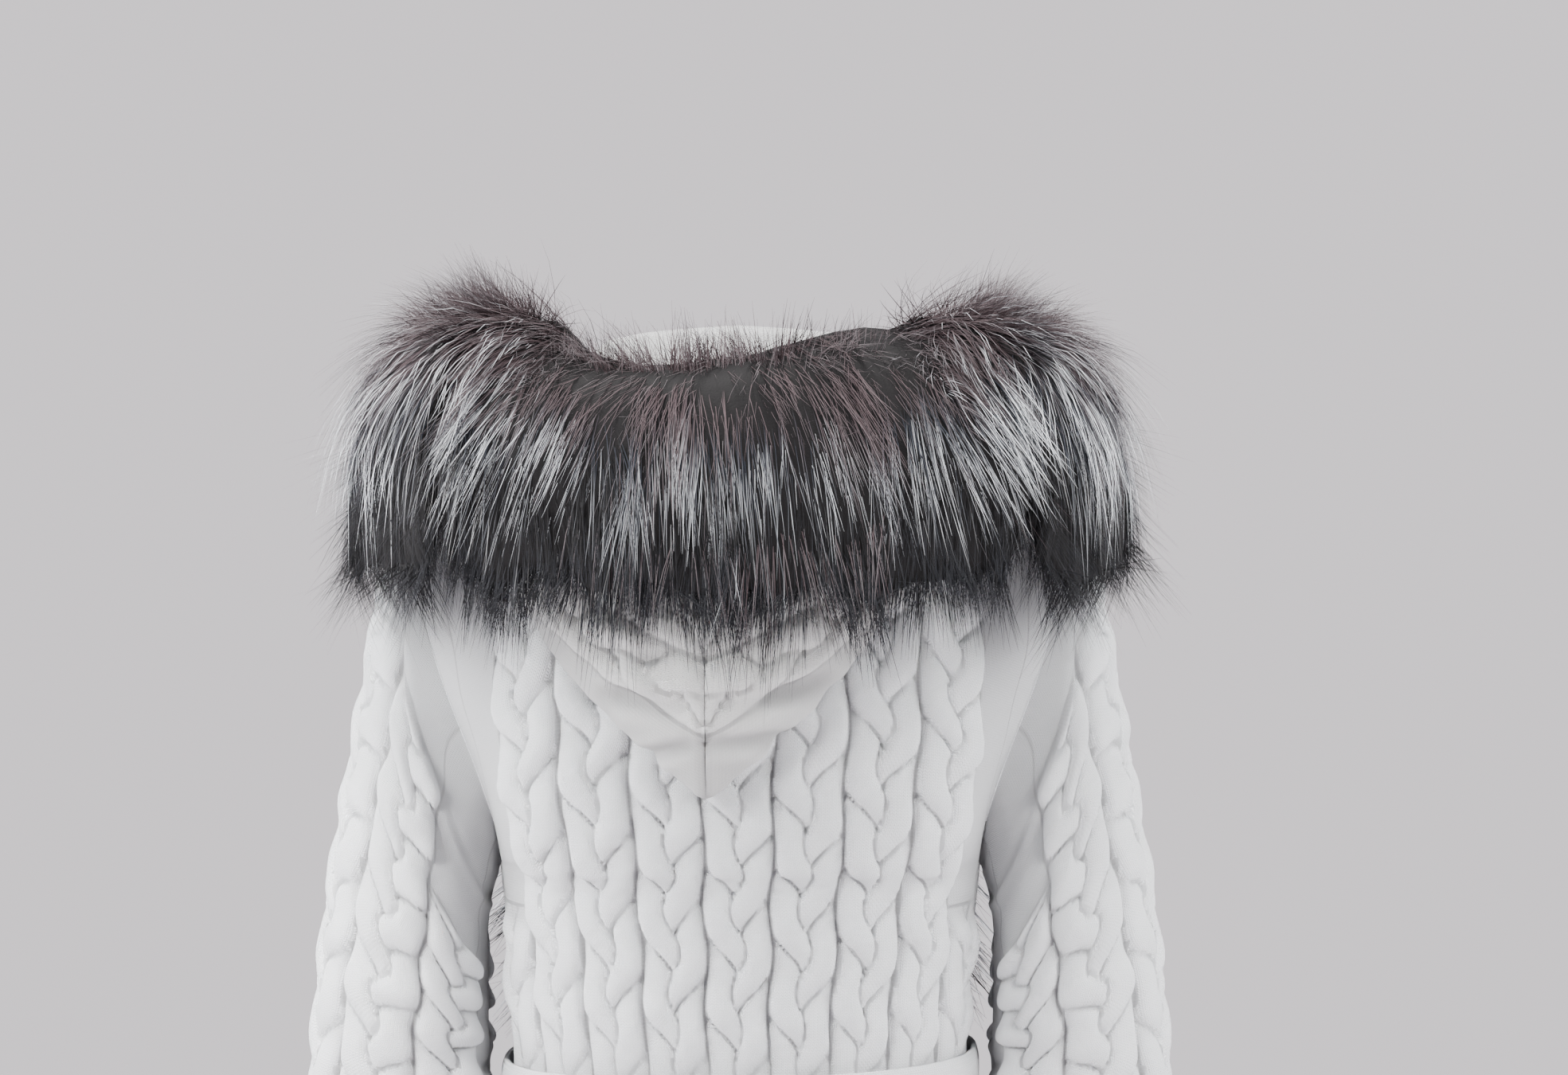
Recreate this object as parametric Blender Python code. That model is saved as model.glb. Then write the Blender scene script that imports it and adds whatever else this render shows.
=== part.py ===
"""Hooded cardigan in plaited cable knit, with a fur ruff round the hood, fur front bands and a tie belt.

Metres, +Z up. The cardigan is worn and empty: its front faces -Y, the wearer's left is +X, and the hood is
folded down the back, at +Y. The origin is at the base of the neck, where the wearer holds the garment up.
Heights on a panel are cloth heights: the world z up to the underarm, and above it the length along the cloth.
"""

import functools
import math

import bpy
import mathutils
import numpy as np

# The whole garment.
HEM_Z = -0.800
UNDERARM_Z = -0.290
WALL = 0.003  # knit, without its cables
SEAM_GAP = 0.0003
SOFT_GAP = 0.0012  # between two soft pieces that lie on each other

# Torso, on the groove level of the knit.
ROUNDNESS = 2.3  # power of the superellipse that each torso ring is
TORSO_COLUMNS = "z half_width back_depth front_depth cable_pitch"
TORSO_ROWS = (
    (-0.800, 0.180, 0.138, 0.136, 0.0460),
    (-0.700, 0.171, 0.132, 0.131, 0.0440),
    (-0.600, 0.160, 0.123, 0.125, 0.0415),
    (-0.500, 0.148, 0.108, 0.114, 0.0380),
    (-0.425, 0.141, 0.097, 0.103, 0.0358),
    (-0.360, 0.142, 0.099, 0.106, 0.0375),
    (-0.290, 0.149, 0.106, 0.115, 0.0400),
    (-0.220, 0.152, 0.110, 0.118, 0.0425),
    (0.050, 0.152, 0.110, 0.118, 0.0430),
)
CHEST_BACK = 0.113
CHEST_FRONT = 0.116
NECK_HALF = 0.068
NECK_BACK = 0.056
NECK_FRONT = 0.078
NECK_POINT_Z = -0.002
NAPE_Z = -0.012
NECK_PIT_Z = -0.080
SHOULDER_HALF = 0.193
SHOULDER_Z = -0.064
NECK_SHARE = 0.36  # share of a top edge, from the centre, that is neckline
ARMHOLE_DEPTH = 0.058
EDGE_COLUMNS = "z x"  # the front edge, from the hem to the side of the neck
EDGE_ROWS = (
    (-0.800, 0.014),
    (-0.600, 0.008),
    (-0.425, 0.003),
    (-0.250, 0.006),
    (-0.150, 0.020),
    (-0.070, 0.050),
    (-0.002, 0.068),
)

# Cables: three-strand plaits, side by side, whose Vs point down.
CABLE_HEIGHT = 0.0065
CABLE_REPEAT = 0.0465
CABLE_DROP = 0.026  # how far each V runs down
MIDDLE_LOBE = 0.72  # relief down a cable's middle
TUCKED_LOBE = 0.42  # relief of the strand that tucks under
CENTRE_CABLES = 3.5  # even columns each side of the centre back
PANEL_CABLES = 5.0  # half a panel, in columns
LAST_GROOVE = 4.5  # the panel is plain from here to the seam
FRONT_PLAIN = 2.5  # columns of plain knit under the front fur
PLAIN_HEM = 0.022
PLAIN_CUFF = 0.045
PINCH_HEIGHT = 0.3  # what the belt leaves of the cables
PINCH_REACH = 0.038

# Sleeves, from the armhole to the cuff, where each ring runs from an inner to an outer point.
SLEEVE_CABLES = 6
SLEEVE_SEAM = 0.6  # columns from the first cable to the underarm seam
SLEEVE_PLAIN = 0.027  # plain knit each side of the underarm seam
SLEEVE_COLUMNS = "along inner_x inner_z outer_x outer_z centre_y half_depth"
SLEEVE_ROWS = (
    (0.000, 0.149, -0.290, 0.193, -0.064, 0.000, 0.058),
    (0.035, 0.1545, -0.306, 0.212, -0.090, 0.000, 0.061),
    (0.085, 0.158, -0.328, 0.2235, -0.135, 0.000, 0.063),
    (0.140, 0.159, -0.350, 0.233, -0.190, 0.001, 0.063),
    (0.200, 0.1585, -0.376, 0.2435, -0.250, 0.002, 0.062),
    (0.265, 0.158, -0.402, 0.254, -0.320, 0.002, 0.060),
    (0.340, 0.1585, -0.438, 0.2625, -0.400, -0.002, 0.057),
    (0.420, 0.164, -0.505, 0.266, -0.485, -0.016, 0.053),
    (0.500, 0.172, -0.572, 0.266, -0.562, -0.033, 0.049),
    (0.570, 0.179, -0.638, 0.265, -0.632, -0.047, 0.046),
)

# Hood, folded down: each panel runs from the front neck (t = 0) to the centre back seam (t = 1).
HOOD_KNOTS = (0.00, 0.13, 0.34, 0.55, 0.78, 1.00)  # share of the cloth at each curve below
HOOD_CURVES = ("neckline", "roll", "lining", "fold", "crown", "rim")
HOOD_COLUMNS = "curve t x y z"
HOOD_ROWS = (
    ("roll", 0.0, 0.060, -0.094, -0.052),
    ("roll", 0.2, 0.076, -0.054, -0.004),
    ("roll", 0.4, 0.080, -0.006, 0.028),
    ("roll", 0.6, 0.068, 0.036, 0.034),
    ("roll", 0.8, 0.038, 0.060, 0.036),
    ("roll", 1.0, 0.000, 0.067, 0.038),
    ("lining", 0.0, 0.064, -0.104, -0.054),
    ("lining", 0.2, 0.098, -0.038, -0.004),
    ("lining", 0.4, 0.110, 0.036, -0.002),
    ("lining", 0.6, 0.088, 0.090, -0.040),
    ("lining", 0.8, 0.046, 0.110, -0.072),
    ("lining", 1.0, 0.000, 0.116, -0.088),
    ("fold", 0.0, 0.068, -0.110, -0.060),
    ("fold", 0.2, 0.115, -0.032, -0.012),
    ("fold", 0.4, 0.129, 0.081, -0.054),
    ("fold", 0.6, 0.092, 0.124, -0.142),
    ("fold", 0.8, 0.046, 0.131, -0.196),
    ("fold", 1.0, 0.000, 0.135, -0.2385),
    ("crown", 0.0, 0.071, -0.113, -0.066),
    ("crown", 0.2, 0.131, -0.038, -0.006),
    ("crown", 0.4, 0.150, 0.076, -0.024),
    ("crown", 0.6, 0.112, 0.138, -0.075),
    ("crown", 0.8, 0.060, 0.160, -0.110),
    ("crown", 1.0, 0.000, 0.168, -0.130),
    ("rim", 0.0, 0.074, -0.114, -0.070),
    ("rim", 0.2, 0.129, -0.040, 0.004),
    ("rim", 0.4, 0.144, 0.045, 0.008),
    ("rim", 0.6, 0.112, 0.106, 0.004),
    ("rim", 0.8, 0.060, 0.136, 0.000),
    ("rim", 1.0, 0.000, 0.144, -0.002),
)
HOOD_FRONT = 0.4  # t up to which the hood stands on the front edge
HOOD_FRONT_LENGTH = 0.062
HOOD_OFF_NECK = 0.0012
HOOD_SWING = 0.018  # how far the tip hangs to the wearer's left
HOOD_PLAIN = 0.045  # plain knit above the tip
HOOD_PITCH = 0.045
HOOD_CABLE_HEIGHT = 0.0045
HOOD_STEPS = 16
HOOD_RIM_SHARES = (0.85, 0.90, 0.95, 1.00)
CLEAR_REACH = 0.03  # how near a face must be to push a point away

# Fur ruff: stations from the left front (-1) over the back (0) to the right front (1). Each section stands on
# the hood's rim: hold is the share of the hood that it lies on inside, inner reaches over the neck, top stands
# above the rim, and reach and drop are the outer hair.
RUFF_COLUMNS = (
    "station lean heading hold inner top shoulder reach belly tip_out drop under_out under_drop"
)
RUFF_ROWS = (
    (-1.00, 80.0, 0.0, 0.70, 0.050, 0.046, 0.040, 0.085, 0.004, 0.080, 0.004, 0.040, 0.003),
    (-0.80, 30.0, -12.0, 0.66, 0.040, 0.058, 0.045, 0.108, -0.030, 0.090, 0.055, 0.055, 0.026),
    (-0.60, 0.0, 8.0, 0.15, 0.034, 0.062, 0.047, 0.108, -0.045, 0.092, 0.128, 0.070, 0.060),
    (-0.40, 0.0, 38.0, 0.06, 0.030, 0.052, 0.036, 0.108, -0.055, 0.080, 0.130, 0.055, 0.080),
    (-0.20, 0.0, 66.0, 0.06, 0.028, 0.030, 0.024, 0.076, -0.060, 0.052, 0.134, 0.036, 0.100),
    (0.00, 0.0, 90.0, 0.06, 0.028, 0.034, 0.028, 0.066, -0.060, 0.044, 0.141, 0.031, 0.105),
    (0.20, 0.0, 114.0, 0.06, 0.030, 0.050, 0.036, 0.076, -0.060, 0.052, 0.138, 0.036, 0.100),
    (0.40, 0.0, 142.0, 0.06, 0.030, 0.050, 0.036, 0.108, -0.055, 0.080, 0.132, 0.055, 0.080),
    (0.60, 0.0, 172.0, 0.15, 0.034, 0.056, 0.045, 0.108, -0.045, 0.092, 0.126, 0.070, 0.060),
    (0.80, 30.0, 192.0, 0.66, 0.040, 0.056, 0.045, 0.108, -0.030, 0.090, 0.055, 0.055, 0.026),
    (1.00, 80.0, 180.0, 0.70, 0.050, 0.046, 0.040, 0.085, 0.004, 0.080, 0.004, 0.040, 0.003),
)
RUFF_SPLITS = (-1.0, -0.375, 0.375, 1.0)  # where the lower hair parts
LOCK_WIDTH = 0.125  # a lock of the ruff's hair, in stations
LOCK_DEPTH = 0.004
RUFF_POINTS = 16  # of a section's outline, past the part that holds the rim
RUFF_SPLIT_GAP = 0.0012
FUR_OFF_RIM = 0.0011
FUR_CLEAR = 0.004
HOLD_CLEAR = 0.007

# Fur bands down both front edges, squeezed by the belt.
BAND_POINTS = 14
BAND_COLUMNS = "z inner reach thickness"
BAND_ROWS = (
    (-0.812, 0.004, 0.110, 0.040),
    (-0.740, 0.002, 0.140, 0.052),
    (-0.600, 0.002, 0.150, 0.054),
    (-0.500, 0.002, 0.150, 0.046),
    (-0.470, 0.002, 0.125, 0.026),
    (-0.456, 0.002, 0.084, 0.012),
    (-0.400, 0.002, 0.084, 0.012),
    (-0.386, 0.002, 0.138, 0.026),
    (-0.350, 0.002, 0.160, 0.048),
    (-0.250, 0.002, 0.150, 0.052),
    (-0.150, 0.010, 0.140, 0.050),
    (-0.082, 0.022, 0.126, 0.036),
)

# Tie belt.
BELT_TOP_Z = -0.408
BELT_WIDTH = 0.040
BELT_TILT = 0.004  # higher on the wearer's right
BELT_THICK = 0.0045
BELT_OFF_KNIT = 0.0040
KNOT_SIZE = (0.046, 0.030, 0.048)
KNOT_TURN = 0.44 * math.pi  # how far round the knot's rings go, up and down
TAIL_LENGTHS = {"left": 0.27, "right": 0.31}
# Across and through a tail, in half widths and thicknesses.
TAIL_OUTLINE = ((-1, -0.4), (-0.5, -0.5), (0, -0.55), (0.5, -0.5), (1, -0.4), (1, 0.4), (0, 0.55), (-1, 0.4))

KNIT = {"color": (0.80, 0.80, 0.81), "roughness": 0.9}
FUR = {"color": (0.23, 0.22, 0.23), "roughness": 0.8}


def named_columns(names, rows):
    return {name: np.array(column) for name, column in zip(names.split(), zip(*rows))}


TORSO = named_columns(TORSO_COLUMNS, TORSO_ROWS)
EDGE = named_columns(EDGE_COLUMNS, EDGE_ROWS)
SLEEVE = named_columns(SLEEVE_COLUMNS, SLEEVE_ROWS)
HOOD = {
    curve: named_columns(HOOD_COLUMNS, [row for row in HOOD_ROWS if row[0] == curve])
    for curve in HOOD_CURVES[1:]
}
RUFF = named_columns(RUFF_COLUMNS, RUFF_ROWS)
BAND = named_columns(BAND_COLUMNS, BAND_ROWS)


def through(keys, values, at):
    """A smooth curve through (keys, values), read at one place or several."""
    return hermite(keys, values, np.gradient(values, keys), at)


def hermite(keys, values, slopes, at):
    at = np.clip(at, keys[0], keys[-1])
    i = np.clip(np.searchsorted(keys, at, side="right") - 1, 0, len(keys) - 2)
    span = keys[i + 1] - keys[i]
    u = (at - keys[i]) / span
    return (
        values[i] * (1 + 2 * u) * (1 - u) ** 2
        + values[i + 1] * u * u * (3 - 2 * u)
        + span * slopes[i] * u * (1 - u) ** 2
        - span * slopes[i + 1] * u * u * (1 - u)
    )


def steady(keys, values, at):
    """Like through, but it never swings past its rows."""
    rises = np.diff(values) / np.diff(keys)
    slopes = np.zeros(len(values))
    same_way = rises[:-1] * rises[1:] > 0
    before, after = rises[:-1][same_way], rises[1:][same_way]
    slopes[1:-1][same_way] = 2 * before * after / (before + after)
    return hermite(keys, values, slopes, at)


def smooth_step(low, high, at):
    u = np.clip((at - low) / (high - low), 0.0, 1.0)
    return u * u * (3 - 2 * u)


def unit(vector):
    return vector / np.linalg.norm(vector)


# ---------------------------------------------------------------- torso

SHARES = np.linspace(0.0, 1.0, 121)  # from the centre line to the side seam or the armhole


def torso_ring(side, z):
    """Half a ring of the torso at height z, from the centre line to the side seam."""
    half_width = through(TORSO["z"], TORSO["half_width"], z)
    depth = through(TORSO["z"], TORSO[side + "_depth"], z)
    angle = SHARES * math.pi / 2
    x = half_width * np.sin(angle) ** (2 / ROUNDNESS)
    y = depth * np.cos(angle).clip(0) ** (2 / ROUNDNESS)
    return x, y, np.full(len(x), z)


def top_edge(side):
    """The neckline, then the shoulder seam."""
    turn = np.clip(SHARES / NECK_SHARE, 0, 1) * math.pi / 2
    reach = np.clip((SHARES - NECK_SHARE) / (1 - NECK_SHARE), 0, 1)
    depth, low = (NECK_BACK, NAPE_Z) if side == "back" else (NECK_FRONT, NECK_PIT_Z)
    x = NECK_HALF * np.sin(turn) + (SHOULDER_HALF - NECK_HALF) * reach
    y = depth * np.cos(turn).clip(0)
    z = NECK_POINT_Z + (low - NECK_POINT_Z) * np.cos(turn) ** 2
    z += (SHOULDER_Z - NECK_POINT_Z) * reach**1.15
    return x, y, z


def yoke_row(side, rise):
    """A row of the cloth above the underarm, at a share of the way up to the top edge."""
    low_x, low_y, low_z = torso_ring(side, UNDERARM_Z)
    top_x, top_y, top_z = top_edge(side)
    chest = CHEST_BACK if side == "back" else CHEST_FRONT
    x = low_x + (top_x - low_x) * math.sin(min(rise / 0.8, 1.0) * math.pi / 2) ** 2
    armhole_y = ARMHOLE_DEPTH * 2 * math.sqrt(rise * (1 - rise))
    centre_y = top_y + (chest - top_y) * math.sqrt(1 - rise**4)
    upper_y = armhole_y + (centre_y - armhole_y) * (1 - SHARES**3)
    taken = math.sqrt(1 - (1 - min(rise / 0.25, 1.0)) ** 2)
    y = low_y * (1 - taken) + upper_y * taken
    return x, y, low_z + rise * (top_z - low_z)


def yoke_rises():
    """Shares of the rise, and the cloth length up to each of them, in the middle of half a panel."""
    rises = np.sin(np.linspace(0, math.pi / 2, 91))
    middle = len(SHARES) // 2
    points = np.array([[axis[middle] for axis in yoke_row("back", rise)] for rise in rises])
    steps = np.linalg.norm(np.diff(points, axis=0), axis=1)
    return rises, np.concatenate([[0.0], np.cumsum(steps)])


YOKE_RISES, YOKE_LENGTHS = yoke_rises()
TOP_HEIGHT = UNDERARM_Z + YOKE_LENGTHS[-1]


@functools.lru_cache(maxsize=20000)
def torso_row(side, height):
    """Half a row of the cloth at a cloth height: its x, y and z, and its cable columns."""
    if height <= UNDERARM_Z:
        x, y, z = torso_ring(side, height)
    else:
        x, y, z = yoke_row(side, np.interp(height - UNDERARM_Z, YOKE_LENGTHS, YOKE_RISES))
    steps = np.sqrt(np.diff(x) ** 2 + np.diff(y) ** 2 + np.diff(z) ** 2)
    lengths = np.concatenate([[0.0], np.cumsum(steps)])
    pitch = through(TORSO["z"], TORSO["cable_pitch"], height)
    even = min(CENTRE_CABLES * pitch, 0.93 * lengths[-1])
    columns = np.interp(lengths, [0.0, even, lengths[-1]], [0.0, CENTRE_CABLES, PANEL_CABLES])
    return x, y if side == "back" else -y, z, columns


def torso_point(side, column, height):
    """A point of the torso at a cable column, counted from the centre line, and a cloth height."""
    x, y, z, columns = torso_row(side, float(height))
    across, deep, up = (np.interp(abs(column), columns, axis) for axis in (x, y, z))
    return np.array([math.copysign(across, column), deep, up])


def column_at(side, x_wanted, height):
    """The column whose point on this row has the wanted x."""
    x, _, _, columns = torso_row(side, float(height))
    return float(np.interp(x_wanted, x, columns))


def torso_normal(side, column, height):
    step = 0.02
    low_c, high_c = max(column - step, -PANEL_CABLES), min(column + step, PANEL_CABLES)
    low_h, high_h = max(height - step / 10, HEM_Z), min(height + step / 10, TOP_HEIGHT)
    across = torso_point(side, high_c, height) - torso_point(side, low_c, height)
    up = torso_point(side, column, high_h) - torso_point(side, column, low_h)
    return unit(np.cross(up, across) if side == "back" else np.cross(across, up))


def cable_v(column):
    """0 in the grooves between cables and 1 in the middle of a cable."""
    return 1 - abs(2 * (column % 1.0) - 1)


def cable_rise(column, row):
    """Relief, 0 to 1: each side of a plait crests in the half repeat where the other tucks under."""
    place = column % 1.0
    if place < 0.01 or place > 0.99:
        return 0.0
    if abs(place - 0.5) < 0.01:
        return MIDDLE_LOBE
    crest = row % 2 == (0 if place < 0.5 else 1)
    return 1.0 if crest else TUCKED_LOBE


def torso_cable(column, height):
    """How much of a cable's height there is here: less under the belt, none at the edges."""
    kept = smooth_step(HEM_Z, HEM_Z + PLAIN_HEM * 2, height)
    kept *= 1 - smooth_step(TOP_HEIGHT - 0.05, TOP_HEIGHT, height)
    pinch = math.exp(-(((height - BELT_TOP_Z + BELT_WIDTH / 2) / PINCH_REACH) ** 4))
    kept *= 1 - (1 - PINCH_HEIGHT) * pinch
    if abs(column) >= LAST_GROOVE:
        return 0.0
    if abs(column) > CENTRE_CABLES:
        kept *= 1 - smooth_step(UNDERARM_Z - 0.06, UNDERARM_Z - 0.01, height)
    return kept


INNER_HEIGHTS = np.concatenate(
    [np.linspace(HEM_Z, UNDERARM_Z, 14), np.linspace(UNDERARM_Z, TOP_HEIGHT, 15)[1:]]
)


def cable_rows(low, high, ease):
    """(row number, height, how far the Vs run there) of rows half a repeat apart."""
    count = round((high - low) / (CABLE_REPEAT / 2))
    rows = []
    for row in range(count + 1):
        height = low + (high - low) * row / count
        room = min(height - low, high - height)
        rows.append((row, height, CABLE_DROP * float(smooth_step(0.0, ease, room))))
    return rows


# ---------------------------------------------------------------- walls


def triangles_between(first, second, first_along, second_along):
    """Triangles that join two lines of points with different spacing."""
    faces = []
    i = j = 0
    while i < len(first) - 1 or j < len(second) - 1:
        take_first = j == len(second) - 1 or (
            i < len(first) - 1 and first_along[i + 1] <= second_along[j + 1]
        )
        if take_first:
            faces.append((first[i], first[i + 1], second[j]))
            i += 1
        else:
            faces.append((first[i], second[j + 1], second[j]))
            j += 1
    return faces


def grid_faces(count_v, count_u, start, closed, flipped):
    faces = []
    for v in range(count_v - 1):
        for u in range(count_u if closed else count_u - 1):
            a = start + v * count_u + u
            b = start + v * count_u + (u + 1) % count_u
            quad = (a, b, b + count_u, a + count_u)
            faces.append(quad[::-1] if flipped else quad)
    return faces


def rim_lines(count_v, count_u, start, closed):
    """The border lines of a grid, each as (points, share along), in one turning sense."""
    low = [start + u for u in range(count_u)]
    high = [start + (count_v - 1) * count_u + u for u in range(count_u)]
    if closed:
        return [low + low[:1], (high + high[:1])[::-1]]
    right = [start + v * count_u + count_u - 1 for v in range(count_v)]
    left = [start + v * count_u for v in range(count_v)]
    return [low, right, high[::-1], left[::-1]]


def wall_mesh(name, outer, inner, closed=False):
    """A closed wall between a fine outer grid and a coarse inner grid of points, both (rows, columns, 3)."""
    count_v, count_u = outer.shape[:2]
    inner_v, inner_u = inner.shape[:2]
    start = count_v * count_u
    points = np.concatenate([outer.reshape(-1, 3), inner.reshape(-1, 3)])
    faces = grid_faces(inner_v, inner_u, start, closed, True)
    faces += grid_faces(count_v, count_u, 0, closed, False)
    for a, b in zip(
        rim_lines(count_v, count_u, 0, closed), rim_lines(inner_v, inner_u, start, closed)
    ):
        faces += triangles_between(b, a, *(share_along(points, line) for line in (b, a)))
    return add_mesh(name, points, faces)


def share_along(points, line):
    steps = np.linalg.norm(np.diff(points[line], axis=0), axis=1)
    lengths = np.concatenate([[0.0], np.cumsum(steps)])
    return lengths / lengths[-1]


def add_mesh(name, points, faces):
    mesh = bpy.data.meshes.new(name)
    mesh.from_pydata([tuple(map(float, point)) for point in points], [], faces)
    mesh.validate()
    thing = bpy.data.objects.new(name, mesh)
    bpy.context.scene.collection.objects.link(thing)
    if signed_volume(mesh) < 0:
        mesh.flip_normals()
    mesh.shade_smooth()
    mesh.set_sharp_from_angle(angle=math.radians(50))
    return thing


def signed_volume(mesh):
    mesh.calc_loop_triangles()
    corners = np.array([[mesh.vertices[v].co[:] for v in t.vertices] for t in mesh.loop_triangles])
    return float(np.linalg.det(corners).sum())


def finish(thing, look):
    material = bpy.data.materials.new(thing.name)
    material.use_nodes = True
    shader = material.node_tree.nodes["Principled BSDF"]
    shader.inputs["Base Color"].default_value = (*look["color"], 1.0)
    shader.inputs["Roughness"].default_value = look["roughness"]
    shader.inputs["Metallic"].default_value = 0.0
    thing.data.materials.append(material)


# ---------------------------------------------------------------- panels


def torso_wall_point(side, column, height, lift):
    """A point of a panel, lifted off the groove level and kept half a seam gap off the other panel."""
    point = torso_point(side, column, height) + torso_normal(side, column, height) * lift
    if side == "back":
        point[1] = max(point[1], SEAM_GAP / 2)
    else:
        point[1] = min(point[1], -SEAM_GAP / 2)
    return point


def fine_columns(first, last, per_cable=4):
    return [first + k / per_cable for k in range(round((last - first) * per_cable) + 1)]


def back_panel():
    columns = [-PANEL_CABLES] + fine_columns(-LAST_GROOVE, LAST_GROOVE) + [PANEL_CABLES]
    outer = []
    for row, height, drop in cable_rows(HEM_Z, TOP_HEIGHT, 0.07):
        line = []
        for column in columns:
            # Columns are centred on the seam, so that a cable runs down the centre back.
            place = column + 0.5
            at = height - drop * cable_v(place) * (abs(column) < LAST_GROOVE)
            lift = CABLE_HEIGHT * cable_rise(place, row) * torso_cable(column, at)
            line.append(torso_wall_point("back", column, at, lift))
        outer.append(line)
    inner = [
        [torso_wall_point("back", column, height, -WALL) for column in np.linspace(-5, 5, 13)]
        for height in INNER_HEIGHTS
    ]
    return wall_mesh("back", np.array(outer), np.array(inner))


def front_edge_column(height):
    """The column of the front edge on this row, for the wearer's left side."""
    edge_x = through(EDGE["z"], EDGE["x"], height)
    if height > UNDERARM_Z:
        # Above the underarm the edge is the curve's own point at that world height.
        for _ in range(6):
            column = column_at("front", edge_x, height)
            edge_x = through(EDGE["z"], EDGE["x"], torso_point("front", column, height)[2])
    return column_at("front", edge_x, height)


def front_panel(name, sign):
    outer, inner = [], []
    for row, height, drop in cable_rows(HEM_Z, TOP_HEIGHT, 0.07):
        edge = front_edge_column(height)
        columns = [edge, (edge + FRONT_PLAIN) / 2] + fine_columns(FRONT_PLAIN, LAST_GROOVE) + [PANEL_CABLES]
        line = []
        for k, column in enumerate(columns):
            place = column + 0.5
            raised = 2 <= k < len(columns) - 1
            at = height - drop * cable_v(place) * raised
            lift = raised * CABLE_HEIGHT * cable_rise(place, row) * torso_cable(column, at)
            line.append(torso_wall_point("front", column, at, lift))
        outer.append(line)
    for height in INNER_HEIGHTS:
        edge = front_edge_column(height)
        columns = np.linspace(edge, PANEL_CABLES, 8)
        inner.append([torso_wall_point("front", column, height, -WALL) for column in columns])
    mirror = np.array([sign, 1, 1])
    outer, inner = ((np.array(grid) * mirror)[:, ::sign] for grid in (outer, inner))
    return wall_mesh(name, outer, inner)


# ---------------------------------------------------------------- sleeves

TURNS = np.linspace(0.0, 2 * math.pi, 145)  # round a sleeve from its inner side, by the back


def armhole_line():
    """The armhole, turn by turn, and the way its cloth faces there."""
    points, normals = [], []
    for turn in TURNS:
        side = "back" if turn <= math.pi else "front"
        rise = (1 - math.cos(turn)) / 2
        height = UNDERARM_Z + float(np.interp(rise, YOKE_RISES, YOKE_LENGTHS))
        points.append(torso_point(side, PANEL_CABLES, height))
        normals.append(torso_normal(side, PANEL_CABLES, min(height + 0.004, TOP_HEIGHT)))
    return np.array(points), np.array(normals)


ARMHOLE, ARMHOLE_FACING = armhole_line()


def sleeve_ring(along):
    """A ring of the sleeve on the wearer's left, as points at TURNS."""
    inner_x, inner_z, outer_x, outer_z, centre_y, half_depth = (
        through(SLEEVE["along"], SLEEVE[name], along) for name in SLEEVE_COLUMNS.split()[1:]
    )
    half = np.array([outer_x - inner_x, 0.0, outer_z - inner_z]) / 2
    middle = np.array([inner_x, 0.0, inner_z]) + half
    middle[1] = centre_y
    deep = np.array([0.0, half_depth, 0.0])
    ring = middle - np.outer(np.cos(TURNS), half) + np.outer(np.sin(TURNS), deep)
    return ring


ARMHOLE_SHIFT = ARMHOLE - sleeve_ring(0.0)
SLEEVE_LENGTH = SLEEVE["along"][-1]


@functools.lru_cache(maxsize=20000)
def set_in_ring(along):
    """A ring of the sleeve, let into the armhole, and the length round to each of its points."""
    ring = sleeve_ring(along) + ARMHOLE_SHIFT * (1 - smooth_step(0.0, 0.08, along))
    return ring, np.concatenate([[0.0], np.cumsum(np.linalg.norm(np.diff(ring, axis=0), axis=1))])


def sleeve_point(column, along):
    """A point of the left sleeve: a column, counted round from the first cable, and a length along it."""
    ring, lengths = set_in_ring(float(along))
    cabled = lengths[-1] - 2 * SLEEVE_PLAIN
    if column < 0:
        at = SLEEVE_PLAIN * (1 + column / SLEEVE_SEAM)
    elif column > SLEEVE_CABLES:
        at = SLEEVE_PLAIN + cabled + SLEEVE_PLAIN * (column - SLEEVE_CABLES) / SLEEVE_SEAM
    else:
        at = SLEEVE_PLAIN + cabled * column / SLEEVE_CABLES
    return np.array([np.interp(at, lengths, ring[:, axis]) for axis in range(3)])


def sleeve_normal(column, along):
    step = 0.02
    low_s, high_s = max(along - 0.002, 0.0), min(along + 0.002, SLEEVE_LENGTH)
    turn = (column + SLEEVE_SEAM) % (SLEEVE_CABLES + 2 * SLEEVE_SEAM)
    span = SLEEVE_CABLES + 2 * SLEEVE_SEAM
    before, after = (turn - step) % span - SLEEVE_SEAM, (turn + step) % span - SLEEVE_SEAM
    round_it = sleeve_point(after, along) - sleeve_point(before, along)
    down = sleeve_point(column, high_s) - sleeve_point(column, low_s)
    return unit(np.cross(down, round_it)) * -1.0


def sleeve_cable(column, along):
    """Cables start below a plain head, and the ones beside the seam start lower."""
    beside = min(column, SLEEVE_CABLES - column)
    begin = 0.150 if beside < 1 else (0.060 if beside < 2 else 0.045)
    kept = smooth_step(begin, begin + 0.03, along)
    kept *= 1 - smooth_step(SLEEVE_LENGTH - PLAIN_CUFF - 0.015, SLEEVE_LENGTH - PLAIN_CUFF, along)
    return float(kept) * (0 <= column <= SLEEVE_CABLES)


def armhole_offset(along):
    """Holds the sleeve head a seam's gap off the armhole."""
    return np.array([SEAM_GAP, 0, 0]) * (1 - smooth_step(0.0, 0.05, along))


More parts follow.
